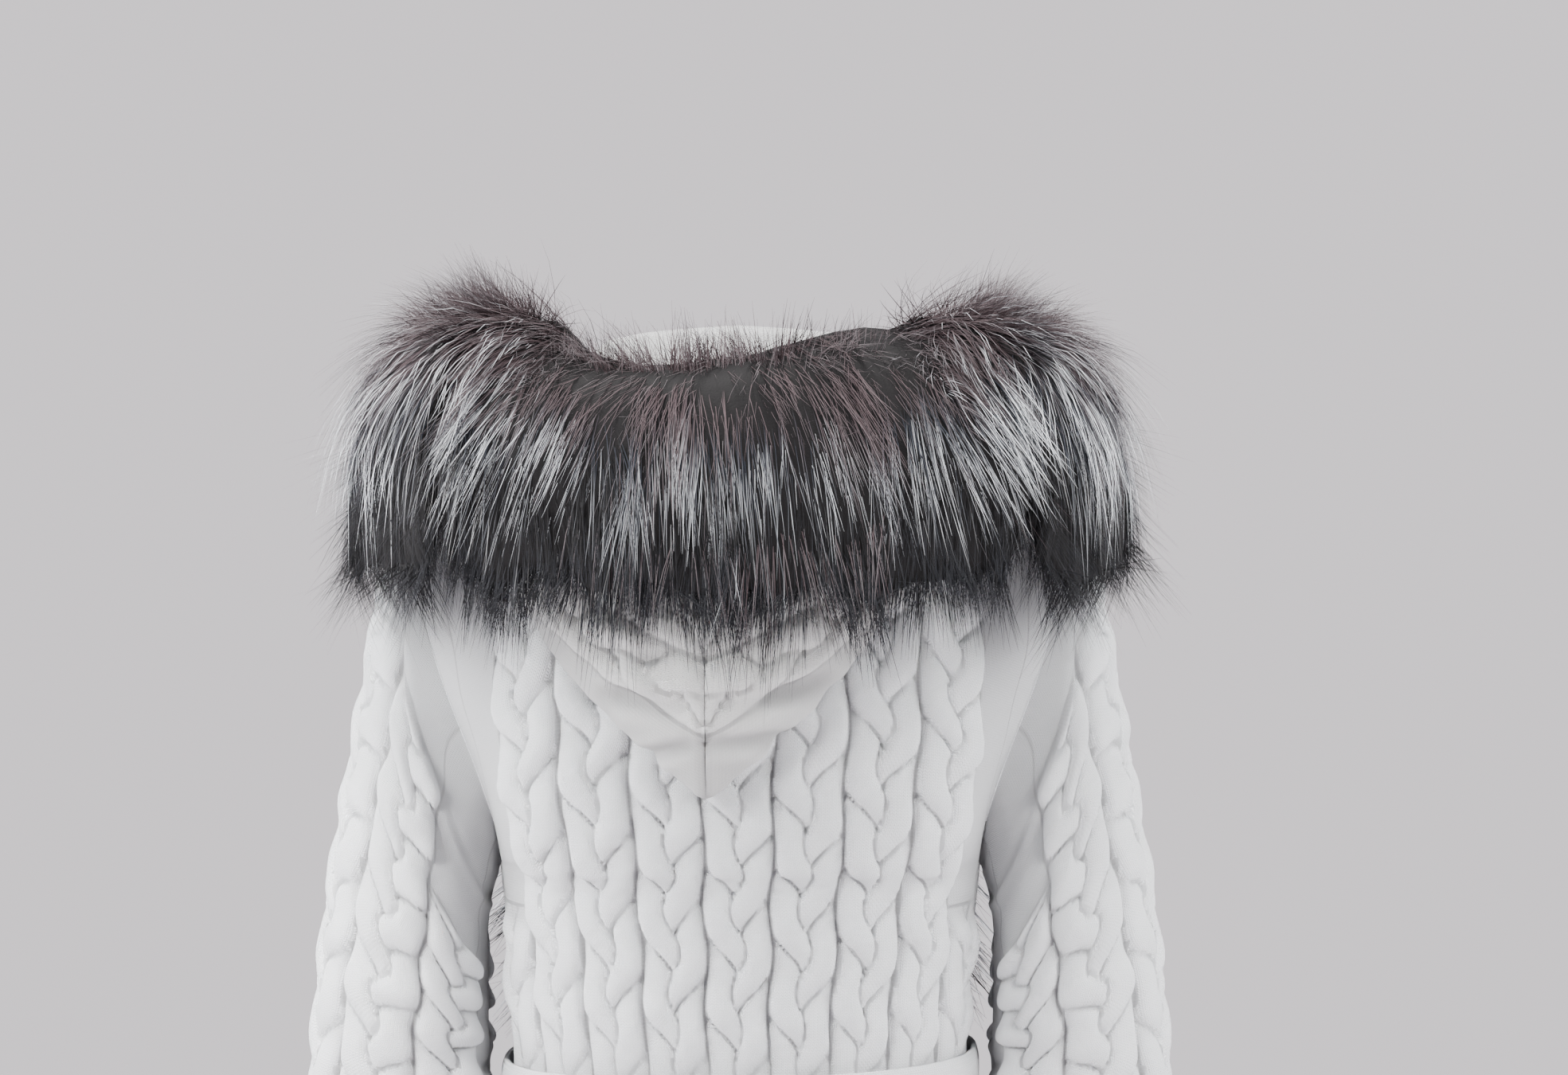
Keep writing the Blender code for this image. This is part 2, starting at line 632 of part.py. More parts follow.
def sleeve(name, sign):
    columns = [-SLEEVE_SEAM] + fine_columns(0, SLEEVE_CABLES) + [SLEEVE_CABLES + 0.3]
    outer = []
    for row, height, drop in cable_rows(-SLEEVE_LENGTH, 0.0, 0.06):
        line = []
        for column in columns:
            along = -(height - drop * cable_v(column) * (0 <= column <= SLEEVE_CABLES))
            lift = CABLE_HEIGHT * cable_rise(column, row) * sleeve_cable(column, along)
            line.append(sleeve_lifted(column, along, lift))
        outer.append(line)
    inner_columns = np.linspace(-SLEEVE_SEAM, SLEEVE_CABLES + SLEEVE_SEAM, 15)[:-1]
    inner = [
        [sleeve_lifted(column, along, -WALL) for column in inner_columns]
        for along in np.linspace(SLEEVE_LENGTH, 0.0, 13)
    ]
    mirror = np.array([sign, 1, 1])
    return wall_mesh(name, np.array(outer) * mirror, np.array(inner) * mirror, closed=True)


def sleeve_lifted(column, along, lift):
    facing = sleeve_normal(column, along)
    if along < 0.03:
        # At the seam the wall is as thick as, and faces like, the armhole's edge.
        turn = nearest_turn(sleeve_point(column, 0.0))
        facing = unit(facing * along / 0.03 + ARMHOLE_FACING[turn] * (1 - along / 0.03))
    return sleeve_point(column, along) + facing * lift + armhole_offset(along)


def nearest_turn(point):
    return int(np.argmin(np.linalg.norm(ARMHOLE - point, axis=1)))


# ---------------------------------------------------------------- clearance


def kept_clear(points, cloud, clearance):
    """Moves each point out until it is clear of the nearest face of the cloud."""
    spots, facings = cloud
    points = np.array(points)
    for _ in range(3):
        nearest = [int(np.argmin(((spots - point) ** 2).sum(1))) for point in points]
        offset = points - spots[nearest]
        depth = (offset * facings[nearest]).sum(1)
        close = np.linalg.norm(offset, axis=1) < CLEAR_REACH
        short = np.where(close, np.maximum(clearance - depth, 0.0), 0.0)
        if not short.any():
            break
        points = points + facings[nearest] * short[:, None]
    return points


def joined_cloud(pairs):
    spots, facings = zip(*pairs)
    return np.array(spots), np.array(facings)


@functools.lru_cache(maxsize=None)
def body_cloud():
    """Places on top of the cables of the yoke and the upper sleeves, and the way each faces."""
    pairs = []
    for side in ("back", "front"):
        for height in np.linspace(UNDERARM_Z - 0.02, TOP_HEIGHT, 32):
            first = 0.0 if side == "back" else front_edge_column(height)
            for column in np.linspace(first, PANEL_CABLES, 24):
                raised = side == "back" or column > FRONT_PLAIN
                facing = torso_normal(side, column, height)
                crest = CABLE_HEIGHT * torso_cable(column, height) * raised
                pairs.append((torso_point(side, column, height) + facing * crest, facing))
    for along in np.linspace(0.0, 0.22, 24):
        for column in np.linspace(-SLEEVE_SEAM, SLEEVE_CABLES + SLEEVE_SEAM, 30):
            facing = sleeve_normal(column, along)
            crest = CABLE_HEIGHT * sleeve_cable(column, along)
            pairs.append((sleeve_point(column, along) + facing * crest, facing))
    mirror = np.array([-1, 1, 1])
    return joined_cloud(pairs + [(spot * mirror, facing * mirror) for spot, facing in pairs])


@functools.lru_cache(maxsize=None)
def hood_cloud():
    """Places on both faces of the hood, short of its rim."""
    pairs = []
    for sign in (1, -1):
        for t in np.linspace(0.0, 1.0, 33):
            for share in np.linspace(0.0, 0.97, 40):
                facing = hood_normal(sign, float(t), float(share))
                crest = CABLE_HEIGHT * hood_cable(sign, float(t), float(share))[1]
                for lift, way in ((crest, 1), (-WALL, -1)):
                    pairs.append((hood_lifted(sign, float(t), float(share), lift), facing * way))
    return joined_cloud(pairs)


# ---------------------------------------------------------------- hood


def neckline(t):
    """Where the hood stands on the body's upper edge: up the left front edge, then along the nape."""
    if t < HOOD_FRONT:
        side, height = "front", TOP_HEIGHT - HOOD_FRONT_LENGTH * (1 - t / HOOD_FRONT)
        column = front_edge_column(height)
    else:
        side, height = "back", TOP_HEIGHT
        turn = (t - HOOD_FRONT) / (1 - HOOD_FRONT) * math.pi / 2
        column = column_at("back", NECK_HALF * math.cos(turn), height)
    edge = torso_point(side, column, height)
    outward = unit(edge * np.array([1, 1, 0]))
    off = HOOD_OFF_NECK * (1 + 0.9 * math.sin(math.pi * min(t / HOOD_FRONT, 1)))
    return edge + torso_normal(side, column, height) * off + outward * WALL / 2


def hood_swing(z, share):
    """The hood hangs a little to the wearer's left, the more the lower it is."""
    return HOOD_SWING * float(smooth_step(0.02, -0.16, z) * smooth_step(0.0, 0.2, share))


@functools.lru_cache(maxsize=None)
def hood_point(sign, t, share):
    """A point of a hood panel's outside: t from the front to the centre back, share from neckline to rim."""
    knots = [neckline(t)]
    for curve in HOOD_CURVES[1:]:
        knots.append([through(HOOD[curve]["t"], HOOD[curve][axis], t) for axis in ("x", "y", "z")])
    knots = np.array(knots)
    point = np.array([through(np.array(HOOD_KNOTS), knots[:, axis], share) for axis in range(3)])
    point = point * np.array([sign, 1, 1]) + np.array([hood_swing(point[2], share), 0, 0])
    clear = kept_clear(point[None], body_cloud(), SOFT_GAP)[0]
    return point + (clear - point) * smooth_step(0.02, 0.10, share)


def hood_normal(sign, t, share):
    step = 0.004
    along = hood_point(sign, min(t + step, 1.0), share) - hood_point(sign, max(t - step, 0.0), share)
    up = hood_point(sign, t, min(share + step, 1.0)) - hood_point(sign, t, max(share - step, 0.0))
    facing = unit(np.cross(along, up)) * sign
    if t > 0.999:
        facing = unit(facing * np.array([0, 1, 1]))
    return facing


def hood_cable(sign, t, share):
    """Cables run across the crown, above the plain tip: the column, and how much of its height is left."""
    fold = hood_point(sign, t, HOOD_KNOTS[3])
    above_fold = np.linalg.norm(hood_point(sign, t, share) - fold) - HOOD_PLAIN * t
    kept = smooth_step(0.0, 0.01, above_fold) * smooth_step(0.56, 0.61, share)
    kept *= smooth_step(0.25, 0.45, t) * (1 - smooth_step(0.76, 0.82, share))
    return above_fold / HOOD_PITCH, float(kept)


def hood_panel(name, sign):
    ts = [float(t) for t in np.linspace(0.0, 1.0, HOOD_STEPS + 1)]
    outer_shares = np.concatenate([np.linspace(0.0, 0.5, 10), np.linspace(0.55, 0.8, 11), HOOD_RIM_SHARES])
    inner_shares = np.concatenate(
        [np.linspace(0.0, 0.4, 6), np.linspace(0.45, 0.65, 5), (0.72, 0.79), HOOD_RIM_SHARES]
    )
    outer = []
    for share in outer_shares:
        line = []
        for k, t in enumerate(ts):
            across, kept = hood_cable(sign, t, float(share))
            wave = 0.5 + 0.5 * math.cos(math.pi * (k + 2 * cable_v(across)))
            bump = math.sin(math.pi * (across % 1.0)) ** 0.7 * (0.5 + 0.5 * wave)
            line.append(hood_lifted(sign, t, float(share), HOOD_CABLE_HEIGHT * kept * bump))
        outer.append(line)
    inner = [[hood_lifted(sign, t, float(share), -WALL) for t in ts] for share in inner_shares]
    return wall_mesh(name, np.array(outer), np.array(inner))


def hood_lifted(sign, t, share, lift):
    point = hood_point(sign, t, share) + hood_normal(sign, t, share) * lift
    seam = hood_swing(point[2], share)
    point[0] = seam + sign * max((point[0] - seam) * sign, SEAM_GAP / 2)
    return point


# ---------------------------------------------------------------- fur


def ruff_fixed(station):
    """The part of a ruff section that holds the hood's rim: up its outside, over it and into the hood."""
    sign, t = (-1 if station > 0 else 1), 1 - abs(station)
    close = FUR_OFF_RIM * (3 - 2 * float(smooth_step(0.06, 0.20, t)))
    onward = unit(hood_point(sign, t, 1.0) - hood_point(sign, t, 0.985)) * close
    outside = [hood_lifted(sign, t, share, close) for share in HOOD_RIM_SHARES]
    inside = [hood_lifted(sign, t, 1.0, -WALL - close)]
    outside[-1] = outside[-1] + onward
    inside[0] = inside[0] + onward
    hold = float(through(RUFF["station"], RUFF["hold"], station))
    off = WALL + FUR_OFF_RIM + (HOLD_CLEAR - FUR_OFF_RIM) * smooth_step(0.1, 0.3, hold)
    inside += [hood_lifted(sign, t, 1.0 - hold * part / 3, -off) for part in (1, 2, 3)]
    return outside + inside


def ruff_section(station):
    """A closed section of the ruff, as world points."""
    size = {name: float(through(RUFF["station"], RUFF[name], station)) for name in RUFF}
    lock = LOCK_DEPTH * math.cos(2 * math.pi * station / LOCK_WIDTH) * (abs(station) < 0.97)
    heading, lean = math.radians(size["heading"]), math.radians(size["lean"])
    out = np.array([math.cos(heading), math.sin(heading), 0.0])
    up = np.array([0.0, -math.sin(lean), math.cos(lean)])
    up = unit(up - out * np.dot(up, out))
    rim = hood_point(-1 if station > 0 else 1, 1 - abs(station), 1.0)
    fixed = ruff_fixed(station)
    corners = (
        (-size["inner"], 0.30 * size["top"]),
        (-0.55 * size["inner"], 0.85 * size["top"]),
        (0.15 * size["reach"], size["top"]),
        (0.62 * size["reach"], size["shoulder"] + lock),
        (0.95 * size["reach"], 0.5 * (size["shoulder"] + size["belly"])),
        (size["reach"] + lock, size["belly"]),
        (0.5 * (size["reach"] + size["tip_out"]) + 0.004, 0.5 * (size["belly"] - size["drop"])),
        (size["tip_out"], -size["drop"] + 1.5 * lock),
        (size["under_out"], -size["under_drop"]),
    )
    free = [rim + out * a + up * b for a, b in corners]
    free = kept_clear(free, hood_cloud(), FUR_CLEAR)
    free = kept_clear(free, body_cloud(), FUR_CLEAR)
    curve = smooth_curve(np.concatenate([fixed[-1][None], free, fixed[0][None]]), RUFF_POINTS)
    return np.concatenate([fixed, kept_clear(curve[1:-1], body_cloud(), FUR_CLEAR)])


def smooth_curve(points, count):
    """A smooth open curve through the points, as evenly spaced points."""
    keys = np.arange(len(points), dtype=float)
    at = np.linspace(0, len(points) - 1, 8 * len(points))
    fine = np.stack([through(keys, points[:, axis], at) for axis in range(3)], axis=1)
    lengths = np.concatenate([[0.0], np.cumsum(np.linalg.norm(np.diff(fine, axis=0), axis=1))])
    even = np.linspace(0, lengths[-1], count)
    return np.stack([np.interp(even, lengths, fine[:, axis]) for axis in range(3)], axis=1)


def swept(name, sections, ends=None):
    """A solid through closed sections of equally many points, with ends filled like the outlines in ends."""
    count = len(sections[0])
    last = (len(sections) - 1) * count
    faces = grid_faces(len(sections), count, 0, True, False)
    first_end, last_end = ends or (sections[0], sections[-1])
    faces += [face[::-1] for face in filled(first_end)]
    faces += [tuple(last + corner for corner in face) for face in filled(last_end)]
    return add_mesh(name, np.concatenate(sections), faces)


def filled(outline):
    """Triangles over a closed outline, wound like it."""
    flat = [mathutils.Vector(point) for point in outline]
    around = sum((np.cross(a, b) for a, b in zip(outline, np.roll(outline, -1, axis=0))), np.zeros(3))
    faces = []
    for face in mathutils.geometry.tessellate_polygon([flat]):
        a, b, c = (outline[corner] for corner in face)
        agrees = np.dot(np.cross(b - a, c - a), around) > 0
        faces.append(tuple(face) if agrees else tuple(face)[::-1])
    return faces


def ruff_piece(name, low, high):
    """Stations are the hood's own columns, so that both meshes bend alike."""
    stations = np.linspace(low, high, round((high - low) * HOOD_STEPS) + 1)
    ends = [ruff_section(float(low)), ruff_section(float(high))]
    if low > -1:
        stations[0] += RUFF_SPLIT_GAP
    if high < 1:
        stations[-1] -= RUFF_SPLIT_GAP
    sections = [ruff_section(float(station)) for station in stations]
    if low > 0:
        sections, ends = sections[::-1], ends[::-1]
    return swept(name, sections, ends)


def band_section(z, sign):
    """A level section of a front band, on the front panel."""
    inner, reach, thickness = (float(steady(BAND["z"], BAND[name], z)) for name in BAND_COLUMNS.split()[1:])
    height = max(z, HEM_Z) if z <= UNDERARM_Z else chest_height(z)
    lock = 0.06 * thickness * math.sin(2 * math.pi * z / 0.045)
    under = []
    for x in np.linspace(inner, 0.62 * reach, 5):
        base = torso_point("front", column_at("front", max(x, 0.0), height), height)
        under.append((x, base[1] - CABLE_HEIGHT * (x > 0.06) - SOFT_GAP))
    y_in, y_out = under[0][1], under[-1][1]
    outline = under + [
        (0.86 * reach, y_out - 0.30 * thickness),
        (reach + lock, y_out - 0.55 * thickness),
        (0.84 * reach, y_out - 0.95 * thickness),
        (0.60 * reach, 0.45 * y_in + 0.55 * y_out - thickness + lock),
        (0.32 * reach, y_in - thickness),
        (0.12 * reach, y_in - 0.86 * thickness),
        (inner, y_in - 0.45 * thickness),
    ]
    loop = np.array([(x, y, z) for x, y in outline + outline[:1]])
    section = smooth_curve(loop, BAND_POINTS + 1)[:-1]
    if z > UNDERARM_Z:
        section = kept_clear(section, body_cloud(), FUR_CLEAR)
    return section * np.array([sign, 1, 1])


def chest_height(z):
    """The cloth height on the chest, above the underarm, whose point is at world height z."""
    heights = np.linspace(UNDERARM_Z, TOP_HEIGHT, 60)
    zs = [torso_point("front", 1.0, height)[2] for height in heights]
    return float(np.interp(z, zs, heights))


def fur_band(name, sign):
    below = np.linspace(BAND["z"][0], -0.470, 13)
    waist = np.array([-0.456, -0.428, -0.400, -0.386, -0.368])
    above = np.linspace(-0.350, BAND["z"][-1], 11)
    return swept(name, [band_section(float(z), sign) for z in np.concatenate([below, waist, above])])


# ---------------------------------------------------------------- belt


def belt_offset(side, column):
    """How far the belt lies off the knit's groove level: over flattened cables, and in front over the fur."""
    over_knit = BELT_OFF_KNIT
    if side == "back":
        return over_knit
    return over_knit + 0.0148 * (1 - smooth_step(2.75, 3.6, abs(column)))


def belt():
    """A closed ring of flat knit."""
    ring = [("back", column) for column in np.linspace(-4.9, 4.9, 21)]
    ring += [("front", column) for column in np.linspace(4.9, -4.9, 21)]
    outer, inner = [], []
    for height in (BELT_TOP_Z - BELT_WIDTH, BELT_TOP_Z):
        outer_line, inner_line = [], []
        for side, column in ring:
            tilt = -BELT_TILT * column / PANEL_CABLES
            offset = belt_offset(side, column)
            base = torso_point(side, column, height + tilt)
            facing = unit(torso_normal(side, column, BELT_TOP_Z - BELT_WIDTH / 2) * np.array([1, 1, 0]))
            inner_line.append(base + facing * offset)
            outer_line.append(base + facing * (offset + BELT_THICK))
        outer.append(outer_line)
        inner.append(inner_line)
    return wall_mesh("belt", np.array(outer), np.array(inner), closed=True)


def belt_front_y():
    return torso_point("front", 0.0, BELT_TOP_Z)[1] - belt_offset("front", 0.0) - BELT_THICK


def knot():
    """The knot, as a plump wrapped band."""
    width, depth, height = KNOT_SIZE
    centre = np.array([0.0, belt_front_y() - 1.5 * SOFT_GAP - depth / 2, BELT_TOP_Z - BELT_WIDTH / 2])
    sections = []
    for k in range(9):
        angle = KNOT_TURN * (k / 4 - 1)
        z = math.sin(angle) * height / 2
        swell = math.cos(angle) ** 0.45
        ring = []
        for j in range(16):
            turn = 2 * math.pi * j / 16
            x = math.copysign(abs(math.cos(turn)) ** 0.7, math.cos(turn)) * width / 2 * swell
            y = math.copysign(abs(math.sin(turn)) ** 0.7, math.sin(turn)) * depth / 2 * swell
            ring.append(centre + np.array([x, y, z]))
        sections.append(np.array(ring))
    return swept("belt_knot", sections)


def tail(side, sign):
    """One end of the belt, hanging from the knot over the fur."""
    length = TAIL_LENGTHS[side]
    top = BELT_TOP_Z - BELT_WIDTH / 2 - KNOT_SIZE[2] / 2 * math.sin(KNOT_TURN) - SEAM_GAP
    sections = []
    for k in range(13):
        down = length * k / 12
        z = top - down
        spread = 0.020 * smooth_step(0.0, 0.06, down) + 0.012 * smooth_step(0.0, length, down)
        middle_x = sign * (0.010 + spread)
        fur = float(steady(BAND["z"], BAND["thickness"], z))
        chest = torso_ring("front", max(z, HEM_Z))[1][0]
        y = -(chest + fur + 0.009 + 0.004 * math.sin(9 * down))
        y = min(y, belt_front_y() - 0.012)
        half = BELT_WIDTH / 2 * (0.34 + 0.66 * smooth_step(0.0, 0.05, down))
        twist = 0.25 * sign * (1 - smooth_step(0.0, 0.12, down))
        across = np.array([math.cos(twist), math.sin(twist), 0.0])
        deep = np.array([-math.sin(twist), math.cos(twist), 0.0])
        ring = []
        for a, b in TAIL_OUTLINE:
            ring.append(np.array([middle_x, y, z]) + across * half * a + deep * BELT_THICK * b)
        sections.append(np.array(ring))
    return swept("belt_tail_" + side, sections)


def main():
    for thing in list(bpy.data.objects):
        bpy.data.objects.remove(thing, do_unlink=True)
    knit = [
        back_panel(),
        front_panel("front_left", 1),
        front_panel("front_right", -1),
        sleeve("sleeve_left", 1),
        sleeve("sleeve_right", -1),
        hood_panel("hood_left", 1),
        hood_panel("hood_right", -1),
        belt(),
        knot(),
        tail("left", 1),
        tail("right", -1),
    ]
    names = ("fur_hood_left", "fur_hood_centre", "fur_hood_right")
    fur = [ruff_piece(name, low, high) for name, low, high in zip(names, RUFF_SPLITS, RUFF_SPLITS[1:])]
    fur += [fur_band("fur_front_left", 1), fur_band("fur_front_right", -1)]
    for thing in knit:
        finish(thing, KNIT)
    for thing in fur:
        finish(thing, FUR)


main()
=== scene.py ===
"""Cable-knit cardigan with a fur ruff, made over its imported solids: knit panels, hood, belt and fur.

The file is laid out as an add-on and run as a script. Metres, +Z up, the front faces -Y and the
wearer's left is +X. The knit's base forms repeat the tables of the part's source, and the plaits are
raised on them here.
"""

import functools
import math

import bmesh
import bpy
import numpy as np
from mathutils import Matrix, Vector
from mathutils.bvhtree import BVHTree


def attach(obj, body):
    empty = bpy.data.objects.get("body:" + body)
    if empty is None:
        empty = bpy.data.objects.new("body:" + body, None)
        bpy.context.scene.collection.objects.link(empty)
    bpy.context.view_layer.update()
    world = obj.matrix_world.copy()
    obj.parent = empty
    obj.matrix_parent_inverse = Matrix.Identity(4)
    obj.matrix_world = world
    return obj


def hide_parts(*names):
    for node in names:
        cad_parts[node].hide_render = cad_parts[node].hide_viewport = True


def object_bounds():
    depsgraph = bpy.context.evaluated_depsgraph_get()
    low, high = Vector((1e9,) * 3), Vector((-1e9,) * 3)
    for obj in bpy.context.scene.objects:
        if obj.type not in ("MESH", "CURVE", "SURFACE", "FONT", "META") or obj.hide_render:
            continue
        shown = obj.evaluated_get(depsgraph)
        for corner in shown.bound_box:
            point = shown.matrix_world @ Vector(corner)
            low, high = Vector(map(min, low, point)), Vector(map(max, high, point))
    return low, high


bl_info = {
    "name": "Fur-Trimmed Cable Cardigan",
    "version": (1, 0, 0),
    "blender": (4, 5, 0),
    "location": "3D View > Sidebar > Cardigan",
    "description": "Makes a hooded cable-knit cardigan with a fur ruff, fur bands and a tie belt",
    "category": "Add Mesh",
}

for default in ("Cube", "Light", "Camera"):
    if default in bpy.data.objects:
        bpy.data.objects.remove(bpy.data.objects[default])
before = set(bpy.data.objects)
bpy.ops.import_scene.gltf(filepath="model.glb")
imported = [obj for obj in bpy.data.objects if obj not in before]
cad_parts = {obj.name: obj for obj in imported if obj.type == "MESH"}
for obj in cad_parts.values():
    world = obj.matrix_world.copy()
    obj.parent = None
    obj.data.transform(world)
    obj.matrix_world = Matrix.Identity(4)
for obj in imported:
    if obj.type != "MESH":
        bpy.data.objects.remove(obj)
CAD_BOX = [list(corner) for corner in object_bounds()]

# The photograph's own camera: half a millimetre to a pixel at the garment's middle plane.
IMAGE_SIZE = (1969, 1350)
CAMERA_AT = (-0.02725, 1.8, -0.0875)
METRES_PER_PIXEL = 0.0005

# ---------------------------------------------------------------- tables of the part's source

HEM_Z = -0.800
UNDERARM_Z = -0.290
SEAM_GAP = 0.0003
SOFT_GAP = 0.0012
ROUNDNESS = 2.3
TORSO_COLUMNS = "z half_width back_depth front_depth cable_pitch"
TORSO_ROWS = (
    (-0.800, 0.180, 0.138, 0.136, 0.0460),
    (-0.700, 0.171, 0.132, 0.131, 0.0440),
    (-0.600, 0.160, 0.123, 0.125, 0.0415),
    (-0.500, 0.148, 0.108, 0.114, 0.0380),
    (-0.425, 0.141, 0.097, 0.103, 0.0358),
    (-0.360, 0.142, 0.099, 0.106, 0.0375),
    (-0.290, 0.149, 0.106, 0.115, 0.0400),
    (-0.220, 0.152, 0.110, 0.118, 0.0425),
    (0.050, 0.152, 0.110, 0.118, 0.0430),
)
CHEST_BACK = 0.113
CHEST_FRONT = 0.116
NECK_HALF = 0.068
NECK_BACK = 0.056
NECK_FRONT = 0.078
NECK_POINT_Z = -0.002
NAPE_Z = -0.012
NECK_PIT_Z = -0.080
SHOULDER_HALF = 0.193
SHOULDER_Z = -0.064
NECK_SHARE = 0.36
ARMHOLE_DEPTH = 0.058
EDGE_COLUMNS = "z x"
EDGE_ROWS = (
    (-0.800, 0.014),
    (-0.600, 0.008),
    (-0.425, 0.003),
    (-0.250, 0.006),
    (-0.150, 0.020),
    (-0.070, 0.050),
    (-0.002, 0.068),
)

CABLE_REPEAT = 0.0465
CENTRE_CABLES = 3.5
PANEL_CABLES = 5.0
LAST_GROOVE = 4.5
FRONT_PLAIN = 2.5
PLAIN_HEM = 0.022
PLAIN_CUFF = 0.045
PINCH_HEIGHT = 0.3
PINCH_REACH = 0.038

SLEEVE_CABLES = 6
SLEEVE_SEAM = 0.6
SLEEVE_PLAIN = 0.027
SLEEVE_COLUMNS = "along inner_x inner_z outer_x outer_z centre_y half_depth"
SLEEVE_ROWS = (
    (0.000, 0.149, -0.290, 0.193, -0.064, 0.000, 0.058),
    (0.035, 0.1545, -0.306, 0.212, -0.090, 0.000, 0.061),
    (0.085, 0.158, -0.328, 0.2235, -0.135, 0.000, 0.063),
    (0.140, 0.159, -0.350, 0.233, -0.190, 0.001, 0.063),
    (0.200, 0.1585, -0.376, 0.2435, -0.250, 0.002, 0.062),
    (0.265, 0.158, -0.402, 0.254, -0.320, 0.002, 0.060),
    (0.340, 0.1585, -0.438, 0.2625, -0.400, -0.002, 0.057),
    (0.420, 0.164, -0.505, 0.266, -0.485, -0.016, 0.053),
    (0.500, 0.172, -0.572, 0.266, -0.562, -0.033, 0.049),
    (0.570, 0.179, -0.638, 0.265, -0.632, -0.047, 0.046),
)

HOOD_KNOTS = (0.00, 0.13, 0.34, 0.55, 0.78, 1.00)  # the neckline, then the five curves
HOOD_FOLD = HOOD_KNOTS[3]
HOOD_CURVES = ("roll", "lining", "fold", "crown", "rim")
HOOD_COLUMNS = "curve t x y z"
HOOD_ROWS = (
    ("roll", 0.0, 0.060, -0.094, -0.052),
    ("roll", 0.2, 0.076, -0.054, -0.004),
    ("roll", 0.4, 0.080, -0.006, 0.028),
    ("roll", 0.6, 0.068, 0.036, 0.034),
    ("roll", 0.8, 0.038, 0.060, 0.036),
    ("roll", 1.0, 0.000, 0.067, 0.038),
    ("lining", 0.0, 0.064, -0.104, -0.054),
    ("lining", 0.2, 0.098, -0.038, -0.004),
    ("lining", 0.4, 0.110, 0.036, -0.002),
    ("lining", 0.6, 0.088, 0.090, -0.040),
    ("lining", 0.8, 0.046, 0.110, -0.072),
    ("lining", 1.0, 0.000, 0.116, -0.088),
    ("fold", 0.0, 0.068, -0.110, -0.060),
    ("fold", 0.2, 0.115, -0.032, -0.012),
    ("fold", 0.4, 0.129, 0.081, -0.054),
    ("fold", 0.6, 0.092, 0.124, -0.142),
    ("fold", 0.8, 0.046, 0.131, -0.196),
    ("fold", 1.0, 0.000, 0.135, -0.2385),
    ("crown", 0.0, 0.071, -0.113, -0.066),
    ("crown", 0.2, 0.131, -0.038, -0.006),
    ("crown", 0.4, 0.150, 0.076, -0.024),
    ("crown", 0.6, 0.112, 0.138, -0.075),
    ("crown", 0.8, 0.060, 0.160, -0.110),
    ("crown", 1.0, 0.000, 0.168, -0.130),
    ("rim", 0.0, 0.074, -0.114, -0.070),
    ("rim", 0.2, 0.129, -0.040, 0.004),
    ("rim", 0.4, 0.144, 0.045, 0.008),
    ("rim", 0.6, 0.112, 0.106, 0.004),
    ("rim", 0.8, 0.060, 0.136, 0.000),
    ("rim", 1.0, 0.000, 0.144, -0.002),
)
HOOD_FRONT = 0.4
HOOD_FRONT_LENGTH = 0.062
HOOD_OFF_NECK = 0.0012
EDGE_OUT = 0.003  # the knit's own wall at the neck
HOOD_SWING = 0.018
HOOD_PLAIN = 0.045
HOOD_PITCH = 0.045
HOOD_CREST = 0.012
HOOD_SEAM_DEEP = 0.0022
HOOD_SEAM_WIDE = 0.0035
CLEAR_REACH = 0.03

BAND_COLUMNS = "z thickness"
BAND_ROWS = (
    (-0.812, 0.040),
    (-0.740, 0.052),
    (-0.600, 0.054),
    (-0.500, 0.046),
    (-0.470, 0.026),
    (-0.456, 0.012),
    (-0.400, 0.012),
    (-0.386, 0.026),
    (-0.350, 0.048),
    (-0.250, 0.052),
    (-0.150, 0.050),
    (-0.082, 0.036),
)
BELT_TOP_Z = -0.408
BELT_WIDTH = 0.040
BELT_MIDDLE_Z = BELT_TOP_Z - BELT_WIDTH / 2
BELT_TILT = 0.004
BELT_THICK = 0.0045
BELT_OFF_KNIT = 0.0040
FUR_UNDER_BELT = 0.0148
BELT_ROWS = 17
KNOT_SIZE = (0.046, 0.030, 0.048)
KNOT_TURN = 0.44 * math.pi
TAIL_LENGTHS = {"left": 0.27, "right": 0.31}


def named_columns(names, rows):
    return {name: np.array(column) for name, column in zip(names.split(), zip(*rows))}


TORSO = named_columns(TORSO_COLUMNS, TORSO_ROWS)
EDGE = named_columns(EDGE_COLUMNS, EDGE_ROWS)
SLEEVE = named_columns(SLEEVE_COLUMNS, SLEEVE_ROWS)
SLEEVE_LENGTH = float(SLEEVE["along"][-1])
HOOD = {
    curve: named_columns(HOOD_COLUMNS, [row for row in HOOD_ROWS if row[0] == curve])
    for curve in HOOD_CURVES
}
BAND = named_columns(BAND_COLUMNS, BAND_ROWS)


def through(keys, values, at):
    """A smooth curve through (keys, values), read at one place or several."""
    return hermite(keys, values, np.gradient(values, keys), at)


def hermite(keys, values, slopes, at):
    """A cubic through (keys, values) with the given slopes, read at one place or several."""
    at = np.clip(at, keys[0], keys[-1])
    i = np.clip(np.searchsorted(keys, at, side="right") - 1, 0, len(keys) - 2)
    span = keys[i + 1] - keys[i]
    u = (at - keys[i]) / span
    return cubic(u, values[i], values[i + 1], span * slopes[i], span * slopes[i + 1])


def cubic(u, low, high, low_slope, high_slope):
    """One span of such a cubic, at a share u of the way from low to high."""
    return (
        low * (1 + 2 * u) * (1 - u) ** 2
        + high * u * u * (3 - 2 * u)
        + low_slope * u * (1 - u) ** 2
        - high_slope * u * u * (1 - u)
    )


